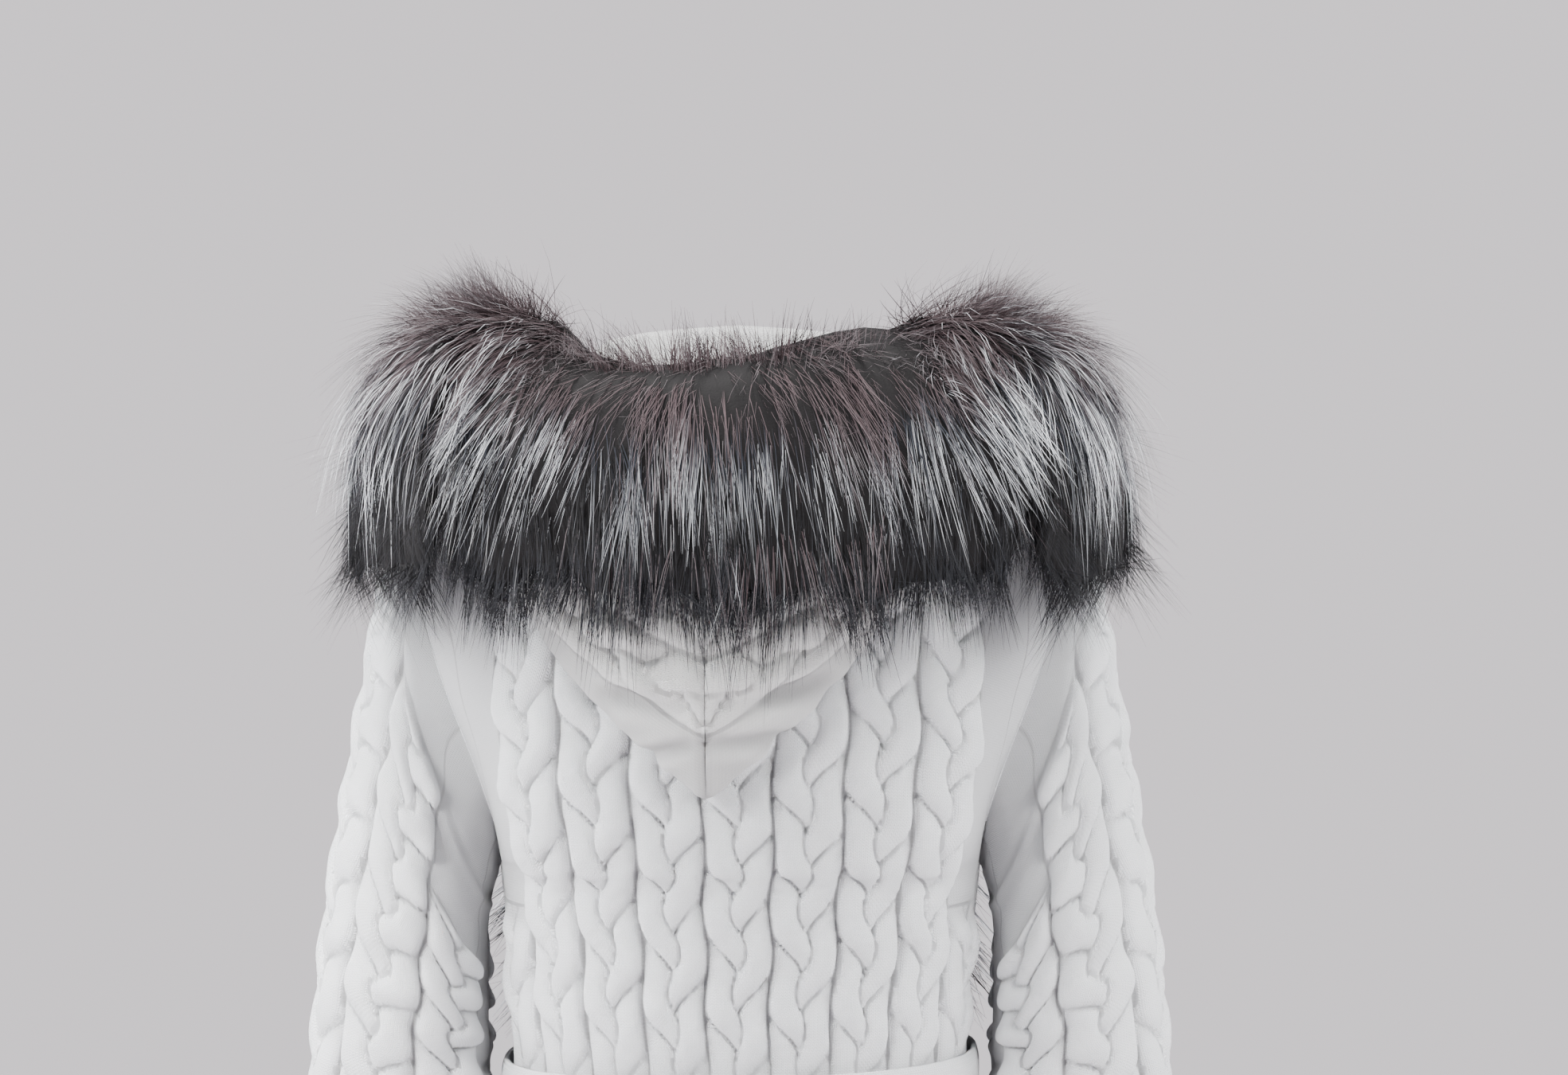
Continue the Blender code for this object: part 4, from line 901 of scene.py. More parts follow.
# Creases of the folded hood, seen from behind: from x, z to x, z, then half width and depth.
HOOD_CREASES = (
    (0.058, -0.214, 0.024, -0.206, 0.0042, 0.0034),
    (0.016, -0.206, -0.034, -0.201, 0.0042, 0.0034),
    (0.070, -0.176, 0.026, -0.184, 0.0060, 0.0056),
    (0.012, -0.184, -0.048, -0.170, 0.0060, 0.0056),
    (0.080, -0.152, 0.030, -0.160, 0.0070, 0.0045),
)
HOOD_BODY = 0.0032  # how much the folded hood's outer layer stands up over the back's cables


def creased(points):
    """How far each point of the hood sinks into its creases, with a soft roll beside each."""
    sunk = np.zeros(points.shape[:-1])
    for x0, z0, x1, z1, half, deep in HOOD_CREASES:
        run = np.array([x1 - x0, z1 - z0])
        rel = points[..., [0, 2]] - np.array([x0, z0])
        share = np.clip((rel @ run) / (run @ run), 0, 1)
        off = np.linalg.norm(rel - share[..., None] * run, axis=-1) / half
        fade = np.sqrt(np.clip(4 * share * (1 - share), 0, 1)) * 0.7 + 0.3
        sunk += deep * fade * (hump(off, 0.0, 1.0) - 0.45 * hump(off, 2.0, 1.0))
    return sunk * (points[..., 1] > 0.09)


def hood_panel(name, sign):
    """Half the hood, folded down, from the front neck to the centre back seam."""
    shape = bpy.context.scene.cardigan_shape
    ts, shares = np.linspace(0, 1, 33), np.linspace(0, 1, 45)
    base = hood_base(sign, ts, shares)
    cell = shape.hood_cell
    wide = float(np.linalg.norm(np.diff(base, axis=1), axis=-1).sum(axis=1).max())
    down = float(np.linalg.norm(np.diff(base, axis=0), axis=-1).sum(axis=0).max())
    rows = np.linspace(0, len(shares) - 1, round(down / cell))
    across = np.linspace(0, len(ts) - 1, round(wide / cell * 0.9))
    fine = spread(base, rows, across)
    t = np.broadcast_to(across / (len(ts) - 1), fine.shape[:2])
    share = np.broadcast_to((rows / (len(shares) - 1))[:, None], fine.shape[:2])
    facing = grid_normals(fine)
    if facing[len(rows) * 3 // 5, -1, 1] < 0:
        facing = -facing
    facing[:, -1] = units(facing[:, -1] * np.array([0, 1, 1]))
    steps = np.linalg.norm(np.diff(fine, axis=0), axis=-1)
    lengths = np.concatenate([np.zeros((1, fine.shape[1])), np.cumsum(steps, axis=0)])
    fold_row = np.argmin(np.abs(rows / (len(shares) - 1) - HOOD_FOLD))
    above_fold = lengths - lengths[fold_row] - HOOD_PLAIN * t
    sideways = np.linalg.norm(np.diff(fine, axis=1), axis=-1)
    run = np.concatenate([np.zeros((fine.shape[0], 1)), np.cumsum(sideways, axis=1)], axis=1)
    run = run[:, -1:] - run  # how far each point is from the centre back seam
    kept = smooth_step(0.0, 0.008, above_fold) * smooth_step(0.555, 0.60, share)
    kept = kept * smooth_step(0.25, 0.42, t) * (1 - smooth_step(0.80, 0.86, share))
    relief, on_top = plait(above_fold / HOOD_PITCH, -run, HOOD_PITCH, HOOD_CREST)
    lift = shape.hood_cable_height * relief * kept
    lift = lift + 0.0006 * waves(fine, 0.045, 7.0 + sign) * smooth_step(0.1, 0.2, share)
    lift = lift - creased(fine) * (share > 0.4)
    lift = lift + HOOD_BODY * smooth_step(0.50, 0.62, share)
    lift = lift - HOOD_SEAM_DEEP * hump(run, 0.0, HOOD_SEAM_WIDE) * smooth_step(0.1, 0.3, share)
    place = np.where(kept < PLAIN_BELOW, 0.5, above_fold / HOOD_PITCH)
    thing = knit_wall(name, fine, facing, lift, *knit_maps(kept, on_top, lengths, run, place))
    points = read_points(thing.data)
    # The seam's gap stays open, also on the inside, where the hood has all its swing.
    swung = np.concatenate([share.ravel(), np.ones(len(points) - share.size)])
    seam_x = hood_swing(points[:, 2], swung)
    half = np.maximum((points[:, 0] - seam_x) * sign, SEAM_GAP / 2)
    near_seam = np.abs(points[:, 0] - seam_x) < 0.004
    points[:, 0] = np.where(near_seam, seam_x + sign * half, points[:, 0])
    write_points(thing.data, points)
    stands_for(thing, name, hood_material())


# ---------------------------------------------------------------- belt


def belt_offset(side, columns):
    """How far the belt lies off the knit: over flattened cables, and in front over the fur."""
    if side == "back":
        return np.full(len(columns), BELT_OFF_KNIT)
    return BELT_OFF_KNIT + FUR_UNDER_BELT * (1 - smooth_step(2.75, 3.6, np.abs(columns)))


def belt_ring():
    """The tie belt's ring of flat double knit."""
    columns = np.linspace(-4.9, 4.9, 41)
    rows = []
    for height in np.linspace(BELT_TOP_Z - BELT_WIDTH, BELT_TOP_Z, 5):
        line = []
        for side, places in (("back", columns), ("front", columns[::-1])):
            facing = np.array([torso_normal(side, place, BELT_MIDDLE_Z) for place in places])
            facing = units(facing * np.array([1, 1, 0]))
            heights = height - BELT_TILT * places / PANEL_CABLES
            tilted = np.array([torso_point(side, *at) for at in zip(places, heights)])
            line.append(tilted + facing * (belt_offset(side, places) + BELT_THICK)[:, None])
        rows.append(np.concatenate(line))
    base = np.array(rows)
    padded = np.concatenate([base[:, -2:], base, base[:, :3]], axis=1)
    girth = float(np.linalg.norm(np.diff(base[2], axis=0), axis=1).sum())
    count = round(girth / 0.003)
    fine = spread(padded, np.linspace(0, 4, BELT_ROWS), 2 + np.arange(count) * base.shape[1] / count)
    facing = grid_normals(fine, wrapped=True)
    middle = fine.mean(axis=(0, 1))
    facing = facing * np.sign(((fine - middle) * facing).sum())
    edge = np.abs(np.linspace(-1, 1, BELT_ROWS))[:, None]
    lift = -0.0016 * edge**6 + 0.0005 * waves(fine, 0.06, 9.0) * (1 - edge**4)
    lift = lift - 0.0006 * hump(edge, 0.82, 0.05)
    run = np.broadcast_to(np.arange(count) * girth / count, fine.shape[:2])
    up = np.broadcast_to(np.linspace(0, BELT_WIDTH, BELT_ROWS)[:, None], fine.shape[:2])
    maps = (np.stack([across, run], axis=-1) for across in (up, np.full(up.shape, 0.5)))
    thing = knit_wall("belt", fine, facing, lift, *maps, closed=True, wall=BELT_THICK * 0.9)
    stands_for(thing, "belt", belt_material())


def belt_front_y():
    offset = float(belt_offset("front", np.zeros(1))[0])
    return torso_point("front", 0.0, BELT_TOP_Z)[1] - offset - BELT_THICK


def closed_rings(name, rings, maps):
    """A closed body through rings of equally many points, with rounded-in ends."""
    rows, columns = rings.shape[:2]
    ends = [rings[0].mean(axis=0), rings[-1].mean(axis=0)]
    points = np.concatenate([rings.reshape(-1, 3), ends])
    faces = quads(rows, columns, 0, True, False)
    first, last = rows * columns, rows * columns + 1
    for u in range(columns):
        after = (u + 1) % columns
        faces.append((first, after, u))
        faces.append((last, (rows - 1) * columns + u, (rows - 1) * columns + after))
    places = np.concatenate([maps.reshape(-1, 2), maps[0, :1], maps[-1, :1]])
    panel = np.stack([np.full(len(points), 0.5), places[:, 1]], axis=-1)
    # A high relief throughout, so the knit paints almost no hollow shade on these.
    return knit_body(name, points, faces, places, panel, np.full(len(points), 0.8))


def belt_knot():
    """The knot: the band wrapped over itself, with soft grooves between its turns."""
    width, depth, height = KNOT_SIZE
    centre = np.array([0.0, belt_front_y() - 1.5 * SOFT_GAP - depth / 2, BELT_TOP_Z - BELT_WIDTH / 2])
    angles = np.linspace(-KNOT_TURN, KNOT_TURN, 45)
    turns = np.linspace(0, 2 * math.pi, 72, endpoint=False)
    angle, turn = np.meshgrid(angles, turns, indexing="ij")
    wrap = angle / KNOT_TURN * 1.25 + 0.42 * np.sin(turn + 0.5)
    groove = np.exp(-(((wrap - np.round(wrap - 0.5) - 0.5) / 0.10) ** 2))
    swell = np.cos(angle) ** 0.45 * (1 - 0.11 * groove) + 0.012 * np.sin(5 * turn + 7 * angle)
    x = np.sign(np.cos(turn)) * np.abs(np.cos(turn)) ** 0.75 * width / 2 * swell
    y = np.sign(np.sin(turn)) * np.abs(np.sin(turn)) ** 0.75 * depth / 2 * swell
    z = np.sin(angle) * height / 2
    rings = centre + np.stack([x, y, z], axis=-1)
    maps = np.stack([wrap * 0.012, turn * 0.02], axis=-1)
    stands_for(closed_rings("belt_knot", rings, maps), "belt_knot", belt_material())


def belt_tail(side, sign):
    """One end of the belt, hanging from the knot over the fur."""
    length = TAIL_LENGTHS[side]
    top = BELT_TOP_Z - BELT_WIDTH / 2 - KNOT_SIZE[2] / 2 * math.sin(KNOT_TURN) - SEAM_GAP
    turns = np.linspace(0, 2 * math.pi, 28, endpoint=False)
    downs = np.linspace(0, length, round(length / 0.0028))
    rings, maps = [], []
    for down in downs:
        z = top - down
        spread_x = 0.020 * smooth_step(0.0, 0.06, down) + 0.012 * smooth_step(0.0, length, down)
        fur = float(steady(BAND["z"], BAND["thickness"], z))
        chest = torso_ring("front", max(z, HEM_Z))[1][0]
        y = min(-(chest + fur + 0.009 + 0.004 * math.sin(9 * down)), belt_front_y() - 0.012)
        half = BELT_WIDTH / 2 * (0.34 + 0.66 * smooth_step(0.0, 0.05, down))
        thick = BELT_THICK * 0.55 * (1 - 0.35 * smooth_step(length - 0.004, length, down))
        thick *= 1 - 0.22 * math.exp(-(((down - length + 0.022) / 0.0012) ** 2))
        twist = 0.25 * sign * (1 - smooth_step(0.0, 0.12, down))
        across = np.array([math.cos(twist), math.sin(twist), 0.0])
        deep = np.array([-math.sin(twist), math.cos(twist), 0.0])
        wide = np.sign(np.cos(turns)) * np.abs(np.cos(turns)) ** 0.8 * half
        thin = np.sign(np.sin(turns)) * np.abs(np.sin(turns)) ** 0.4 * thick
        centre = np.array([sign * (0.010 + spread_x), y, z])
        rings.append(centre + wide[:, None] * across + thin[:, None] * deep)
        maps.append(np.stack([wide, np.full(len(turns), down)], axis=-1))
    name = "belt_tail_" + side
    thing = closed_rings(name, np.array(rings), np.array(maps))
    stands_for(thing, name, belt_material())


# ---------------------------------------------------------------- node helpers


class Graph:
    """Short calls that add nodes to a tree and join them."""

    def __init__(self, tree):
        self.tree = tree

    def add(self, kind, *inputs, out=0, named=None, **settings):
        node = self.tree.nodes.new(kind)
        for key, value in settings.items():
            setattr(node, key, value)
        for socket, value in zip(node.inputs, inputs):
            self.put(socket, value)
        for key, value in (named or {}).items():
            self.put(node.inputs[key], value)
        return node.outputs[out]

    def put(self, socket, value):
        if value is None:
            return
        if isinstance(value, bpy.types.NodeSocket):
            self.tree.links.new(value, socket)
        else:
            socket.default_value = value

    def math(self, operation, *inputs, **settings):
        return self.add("ShaderNodeMath", *inputs, operation=operation, **settings)

    def vector(self, operation, *inputs, out=0):
        return self.add("ShaderNodeVectorMath", *inputs, operation=operation, out=out)

    def scaled(self, vector, factor):
        return self.add("ShaderNodeVectorMath", vector, operation="SCALE", named={"Scale": factor})

    def join(self, x, y, z):
        return self.add("ShaderNodeCombineXYZ", x, y, z)

    def ramp(self, value, low, high, to_low=0.0, to_high=1.0):
        return self.add(
            "ShaderNodeMapRange",
            interpolation_type="SMOOTHSTEP",
            named={"Value": value, "From Min": low, "From Max": high, "To Min": to_low, "To Max": to_high},
        )

    def noise(self, where, scale, detail):
        return self.add("ShaderNodeTexNoise", named={"Vector": where, "Scale": scale, "Detail": detail})

    def bump(self, strength, distance, height):
        named = {"Strength": strength, "Distance": distance, "Height": height}
        return self.add("ShaderNodeBump", named=named)

    def mix(self, factor, first, second):
        node = self.tree.nodes.new("ShaderNodeMix")
        node.data_type = "RGBA"
        for index, value in ((0, factor), (6, first), (7, second)):
            self.put(node.inputs[index], value)
        return node.outputs[2]


def new_group(name, kind, inputs, outputs):
    """A node tree with named sockets, as (tree, graph, its inputs by name, its output node)."""
    tree = bpy.data.node_groups.new(name, kind)
    for title, socket, default in inputs:
        made = tree.interface.new_socket(title, in_out="INPUT", socket_type=socket)
        if default is not None:
            made.default_value = default
    for title, socket in outputs:
        tree.interface.new_socket(title, in_out="OUTPUT", socket_type=socket)
    start = tree.nodes.new("NodeGroupInput")
    end = tree.nodes.new("NodeGroupOutput")
    return tree, Graph(tree), start.outputs, end


def made_by(thing, tree, settings):
    """The plain mesh that a node tree makes of an object. The modifier comes off again."""
    maker = thing.modifiers.new("maker", "NODES")
    maker.node_group = tree
    for item in tree.interface.items_tree:
        if item.item_type == "SOCKET" and item.in_out == "INPUT" and item.name in settings:
            maker[item.identifier] = settings[item.name]
    graph = bpy.context.evaluated_depsgraph_get()
    made = bpy.data.meshes.new_from_object(thing.evaluated_get(graph), depsgraph=graph)
    thing.modifiers.remove(maker)
    return made


# ---------------------------------------------------------------- fur


LONG_EDGE = 0.016  # the skin's longer edges are halved
DEEPEST_SKIN = 0.34  # of the solid's thickness
MARGIN_SHARE = 0.03  # of the solids' own box
MARGIN = 0.0085
LOCK_SIZE = 0.022


@functools.lru_cache(maxsize=None)
def hair_tree():
    """Hair over a skin: each rises from its root, bends along the comb and leans into its lock."""
    tree, g, given, end = new_group(
        "combed_hair",
        "GeometryNodeTree",
        (
            ("Skin", "NodeSocketGeometry", None),
            ("Density", "NodeSocketFloat", 100000.0),
            ("Hair Width", "NodeSocketFloat", 0.0005),
            ("Lock Size", "NodeSocketFloat", 0.02),
            ("Lock Pull", "NodeSocketFloat", 0.5),
            ("Low Corner", "NodeSocketVector", None),
            ("High Corner", "NodeSocketVector", None),
            ("Seed", "NodeSocketInt", 1),
            ("Fur", "NodeSocketMaterial", None),
        ),
        (("Geometry", "NodeSocketGeometry"),),
    )

    def read(name, kind="FLOAT"):
        return g.add("GeometryNodeInputNamedAttribute", name, data_type=kind)

    def keep(geometry, name, value, kind="FLOAT"):
        return g.add(
            "GeometryNodeStoreNamedAttribute",
            data_type=kind,
            domain="POINT",
            named={"Geometry": geometry, "Name": name, "Value": value},
        )

    def chance(low, high, seed):
        node = tree.nodes.new("FunctionNodeRandomValue")
        node.data_type = "FLOAT"
        node.inputs[2].default_value, node.inputs[3].default_value = low, high
        node.inputs[8].default_value = seed
        return node.outputs[1]

    spread_node = tree.nodes.new("GeometryNodeDistributePointsOnFaces")
    spread_node.distribute_method = "RANDOM"
    density = g.math("MULTIPLY", given["Density"], read("dense"))
    for title, value in (("Mesh", given["Skin"]), ("Density", density), ("Seed", given["Seed"])):
        g.put(spread_node.inputs[title], value)
    roots = keep(spread_node.outputs["Points"], "facing", spread_node.outputs["Normal"], "FLOAT_VECTOR")
    roots = keep(roots, "root", g.add("GeometryNodeInputPosition"), "FLOAT_VECTOR")
    roots = keep(roots, "lot", chance(0.0, 1.0, 3))
    roots = keep(roots, "lot_b", chance(0.0, 1.0, 4))

    blade = tree.nodes.new("GeometryNodeMeshGrid")
    blade.inputs["Size X"].default_value = 1.0
    blade.inputs["Size Y"].default_value = 1.0
    blade.inputs["Vertices X"].default_value = 2
    blade.inputs["Vertices Y"].default_value = 4
    flat = keep(blade.outputs["Mesh"], "blade", blade.outputs["UV Map"], "FLOAT_VECTOR")
    placed = g.add("GeometryNodeInstanceOnPoints", named={"Points": roots, "Instance": flat})
    hairs = g.add("GeometryNodeRealizeInstances", named={"Geometry": placed})

    place = g.add("ShaderNodeSeparateXYZ", read("blade", "FLOAT_VECTOR"))
    side, along = place, place.node.outputs[1]
    root, facing = read("root", "FLOAT_VECTOR"), read("facing", "FLOAT_VECTOR")
    comb, rise, length = read("comb", "FLOAT_VECTOR"), read("rise"), read("length")
    lot, lot_b = read("lot"), read("lot_b")
    length = g.math("MULTIPLY", length, g.math("MULTIPLY_ADD", lot_b, 0.70, 0.55))
    rise = g.math("MULTIPLY", rise, g.math("MULTIPLY_ADD", lot, 1.15, 0.35))
    # The way a hair leaves the skin, with a wander that neighbours share.
    wander, loose = (
        g.vector(
            "SUBTRACT",
            g.add("ShaderNodeTexNoise", out=1, named={"Vector": root, "Scale": scale, "Detail": 1.0}),
            (0.5, 0.5, 0.5),
        )
        for scale in (26.0, 420.0)
    )
    way = g.vector("ADD", g.scaled(comb, g.math("COSINE", rise)), g.scaled(facing, g.math("SINE", rise)))
    way = g.vector("ADD", way, g.scaled(wander, 1.7))
    way = g.vector("NORMALIZE", g.vector("ADD", way, g.scaled(loose, 0.65)))
    droop = g.vector("ADD", g.scaled(facing, -0.40), (0.0, 0.0, -0.26))
    droop = g.scaled(g.vector("ADD", droop, g.scaled(comb, 0.20)), read("lie"))
    # Locks: hairs of one cell lean to a shared middle, more towards the tip.
    size = g.math("DIVIDE", 1.0, given["Lock Size"])
    locks = []
    for times, share in ((1.0, 0.50), (3.2, 0.50)):
        cell = g.add(
            "ShaderNodeTexVoronoi",
            out=2,
            voronoi_dimensions="3D",
            feature="F1",
            named={"Vector": root, "Scale": g.math("MULTIPLY", size, times)},
        )
        pull = g.vector("SUBTRACT", cell, root)
        locks.append(g.scaled(pull, g.math("MULTIPLY", given["Lock Pull"], share * 1.6)))
    pull = g.vector("ADD", *locks)
    # A hair that would leave the allowed box is shortened until it doesn't.
    reach = g.vector("ADD", g.scaled(g.vector("ADD", way, droop), length), pull)
    least_reach = (1e-5,) * 3
    above = g.vector("SUBTRACT", given["High Corner"], root)
    above = g.vector("DIVIDE", above, g.vector("MAXIMUM", reach, least_reach))
    below = g.vector("SUBTRACT", root, given["Low Corner"])
    below = g.vector("DIVIDE", below, g.vector("MAXIMUM", g.scaled(reach, -1.0), least_reach))
    room = g.add("ShaderNodeSeparateXYZ", g.vector("MINIMUM", above, below))
    least = g.math("MINIMUM", room, g.math("MINIMUM", room.node.outputs[1], room.node.outputs[2]))
    least = g.math("MULTIPLY", g.math("MINIMUM", least, 1.0), 0.98)
    path = g.vector("ADD", g.scaled(way, along), g.scaled(droop, g.math("MULTIPLY", along, along)))
    path = g.vector("ADD", g.scaled(path, length), g.scaled(pull, g.math("POWER", along, 1.4)))
    spine = g.vector("ADD", root, g.scaled(path, least))
    broad = g.vector("CROSS_PRODUCT", way, g.vector("ADD", facing, g.scaled(loose, 2.4)))
    taper = g.math("SUBTRACT", 1.0, g.math("MULTIPLY", g.math("POWER", along, 1.6), 0.86))
    width = g.math("MULTIPLY", given["Hair Width"], taper)
    width = g.math("MULTIPLY", width, g.math("SUBTRACT", side, 0.5))
    spot = g.vector("ADD", spine, g.scaled(g.vector("NORMALIZE", broad), width))
    hairs = g.add("GeometryNodeSetPosition", named={"Geometry": hairs, "Position": spot})
    hairs = keep(hairs, "along", along)
    hairs = g.add("GeometryNodeSetMaterial", named={"Geometry": hairs, "Material": given["Fur"]})
    g.put(end.inputs[0], hairs)
    return tree


def smoothed(form, times, factor):
    for _ in range(times):
        bmesh.ops.smooth_vert(
            form, verts=form.verts, factor=factor, use_axis_x=True, use_axis_y=True, use_axis_z=True
        )


def skin_of(node):
    """A merged, finer copy of a fur solid, as bmesh."""
    form = bmesh.new()
    form.from_mesh(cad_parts[node].data)
    bmesh.ops.remove_doubles(form, verts=form.verts, dist=1e-5)
    bmesh.ops.recalc_face_normals(form, faces=form.faces)
    for _ in range(2):
        bmesh.ops.triangulate(form, faces=form.faces)
        long = [edge for edge in form.edges if edge.calc_length() > LONG_EDGE]
        bmesh.ops.subdivide_edges(form, edges=long, cuts=1, use_grid_fill=False)
        bmesh.ops.triangulate(form, faces=form.faces)
    smoothed(form, 3, 0.4)
    form.normal_update()
    return form


def hair_box():
    """How far hair may reach: the solids' own box, with a margin."""
    low, high = (np.array(corner) for corner in CAD_BOX)
    margin = (high - low) * MARGIN_SHARE + MARGIN
    return {"Low Corner": (low - margin).tolist(), "High Corner": (high + margin).tolist()}


def coat(name, flow, seed, look):
    """A fur piece: a dark coat of underfur inside the solid, its near-black painted as the shade under the
    hair, and hair over it, combed by flow.
    """
    fur = bpy.context.scene.cardigan_fur
    form = skin_of(name)
    tree = BVHTree.FromBMesh(form)
    insets = []
    for vert in form.verts:
        inward = -vert.normal
        thick = tree.ray_cast(vert.co + inward * 0.0006, inward, 0.12)[3]
        thick = 0.03 if thick is None else thick
        insets.append(min(fur.depth, DEEPEST_SKIN * thick))
    points = np.array([vert.co for vert in form.verts])
    facings = np.array([vert.normal for vert in form.verts])
    comb, numbers = flow(points, facings, np.array(insets))
    comb = units(comb - facings * (comb * facings).sum(1)[:, None])
    for vert, inset in zip(form.verts, insets):
        vert.co -= vert.normal * inset
    smoothed(form, 2, 0.5)
    bmesh.ops.recalc_face_normals(form, faces=form.faces)
    mesh = bpy.data.meshes.new(name + "_skin")
    form.to_mesh(mesh)
    form.free()
    mesh.shade_smooth()
    layer = mesh.attributes.new("comb", "FLOAT_VECTOR", "POINT")
    layer.data.foreach_set("vector", comb.astype(np.float32).ravel())
    numbers["dense"] = numbers["dense"] / numbers["dense"].mean()
    for title, values in numbers.items():
        store(mesh, title, values)
    area = sum(face.area for face in mesh.polygons)
    skin = linked(name + "_skin", mesh)
    settings = {
        "Density": look["hairs"] / area,
        "Hair Width": fur.hair_width * look["width"],
        "Lock Size": LOCK_SIZE,
        "Lock Pull": look["pull"],
        "Seed": seed,
        "Fur": fur_material(),
    }
    hair = made_by(skin, hair_tree(), {**settings, **hair_box()})
    # The skin counts as the hairs' roots, so the material paints it near-black as the shade under the hair.
    store(mesh, "along", np.zeros(len(mesh.vertices)))
    store(mesh, "lot", np.full(len(mesh.vertices), 0.5))
    whole = joined_mesh(name, [mesh, hair])
    bpy.data.objects.remove(skin)
    stands_for(linked(name, whole), name, fur_material())


def joined_mesh(name, meshes):
    """One mesh from several, with the point numbers that the fur's material reads."""
    count, points, faces, kept = 0, [], [], {"along": [], "lot": [], "zone": []}
    for mesh in meshes:
        points.append(read_points(mesh))
        faces += [tuple(count + v for v in face.vertices) for face in mesh.polygons]
        for title, parts in kept.items():
            values = np.empty(len(mesh.vertices), dtype=np.float32)
            mesh.attributes[title].data.foreach_get("value", values)
            parts.append(values)
        count += len(mesh.vertices)
    whole = bpy.data.meshes.new(name)
    whole.from_pydata(np.concatenate(points).tolist(), [], faces)
    whole.update()
    for title, parts in kept.items():
        store(whole, title, np.concatenate(parts))
    whole.shade_smooth()
    return whole


# The way that the hair leaves the rim, in degrees, at even stations from the left front to the right.
RUFF_HEADINGS = (0.0, -12.0, 8.0, 38.0, 66.0, 90.0, 114.0, 142.0, 172.0, 192.0, 180.0)
RUFF_CORE = (0.022, -0.030)  # the roll's middle, out from the rim and up
UP = np.array([0.0, 0.0, 1.0])


@functools.lru_cache(maxsize=None)
def ruff_path():
    """Points at even stations round the hood's rim, and the ways that the hair leaves it."""
    stations = np.linspace(-1, 1, 81)
    known = np.array([round(-1 + 0.2 * step, 1) for step in range(len(RUFF_HEADINGS))])
    heading = np.radians(through(known, np.array(RUFF_HEADINGS), stations))
    rim = HOOD["rim"]
    t = 1 - np.abs(stations)
    points = np.stack([through(rim["t"], rim[axis], t) for axis in ("x", "y", "z")], axis=-1)
    points[:, 0] *= np.where(stations > 0, -1, 1)
    return points, np.stack([np.cos(heading), np.sin(heading), 0 * heading], axis=-1)


def ruff_flow(points, facings, insets):
    """How the ruff's hair is combed: from a parting on top, out and down, and in to the neck."""
    rim, outs = ruff_path()
    flat = points[:, None, :2] - rim[None, :, :2]
    ahead = (flat * outs[None, :, :2]).sum(-1)
    aside = np.linalg.norm(flat - ahead[..., None] * outs[None, :, :2], axis=-1)
    cost = aside + 0.25 * np.abs(ahead) + np.where(ahead < -0.06, 0.2, 0.0)
    weights = np.exp(-((cost - cost.min(axis=1, keepdims=True)) / 0.012))
    weights /= weights.sum(axis=1, keepdims=True)
    out = units((weights[..., None] * outs[None]).sum(1))
    base = (weights[..., None] * rim[None]).sum(1)
    a = ((points - base) * out).sum(1)
    b = points[:, 2] - base[:, 2]
    ra, rb = a - RUFF_CORE[0], b - RUFF_CORE[1]
    reach = np.maximum(np.hypot(ra, rb), 1e-4)
    turn = np.arctan2(ra, rb)  # 0 on top, growing outwards and down
    tangent = out * (rb / reach)[:, None] + UP * (-ra / reach)[:, None]
    inside = smooth_step(-0.004, -0.022, a) * smooth_step(0.10, -0.45, (facings * out).sum(1))
    inward = -out * 0.5 - UP * 0.75
    comb = tangent * (1 - inside)[:, None] + inward * inside[:, None]
    under = smooth_step(1.9, 2.6, np.abs(turn))[:, None]
    comb = comb * (1 - under) + (out * 0.35 - UP) * under
    comb = comb + 0.16 * np.stack([waves(points, 0.09, 1.0), waves(points, 0.08, 2.0), 0 * a], axis=-1)
    zone = np.clip(turn / math.pi, -1, 1)
    zone = np.where(inside > 0.5, -0.3, zone)
    top = np.exp(-(zone**2) / 0.045) * (1 - inside)
    middle = hump(points[:, 0], 0.0, 0.13)
    rise = 0.34 + (0.62 + 0.34 * middle) * top + 0.12 * waves(points, 0.06, 3.0)
    length = 0.056 - 0.014 * top * (1 - 0.7 * middle) + 0.009 * waves(points, 0.06, 4.0)
    low = smooth_step(0.46, 0.72, zone)
    length = length - (0.026 - 0.008 * middle + 0.010 * waves(points, 0.045, 8.0)) * low
    length = np.where(inside > 0.5, 0.036, length)
    length = np.minimum(length, 0.024 + 0.012 * top + 2.2 * insets)
    lie = 1.0 - (0.5 + 0.35 * middle) * top
    dense = 1.0 + (2.2 + 2.4 * middle) * top + 0.8 * low - 1.1 * smooth_step(0.85, 1.0, zone)
    return comb, {"rise": rise, "length": length, "zone": zone, "lie": lie, "dense": dense}


def band_flow(sign):
    """The front bands' hair falls away from the front edge and down."""

    def flow(points, facings, insets):
        comb = np.tile([sign * 0.75, -0.12, -0.66], (len(points), 1))
        swells = [waves(points, *swell) for swell in ((0.08, 1.0), (0.09, 2.0), (0.1, 6.0))]
        comb = comb + 0.22 * np.stack(swells, axis=-1)
        near_edge = 1 - smooth_step(0.012, 0.040, points[:, 0] * sign)
        comb[:, 0] -= sign * near_edge
        zone = 0.30 + 0.14 * np.sin(points[:, 2] * 38 + sign) + 0.08 * waves(points, 0.05, 5.0)
        rise = 0.34 + 0.08 * waves(points, 0.05, 3.0)
        length = np.minimum(0.058 + 0.006 * waves(points, 0.06, 4.0), 0.020 + 2.1 * insets)
        lie, dense = np.full(len(points), 0.9), np.ones(len(points))
        return comb, {"rise": rise, "length": length, "zone": zone, "lie": lie, "dense": dense}

    return flow


# ---------------------------------------------------------------- looks


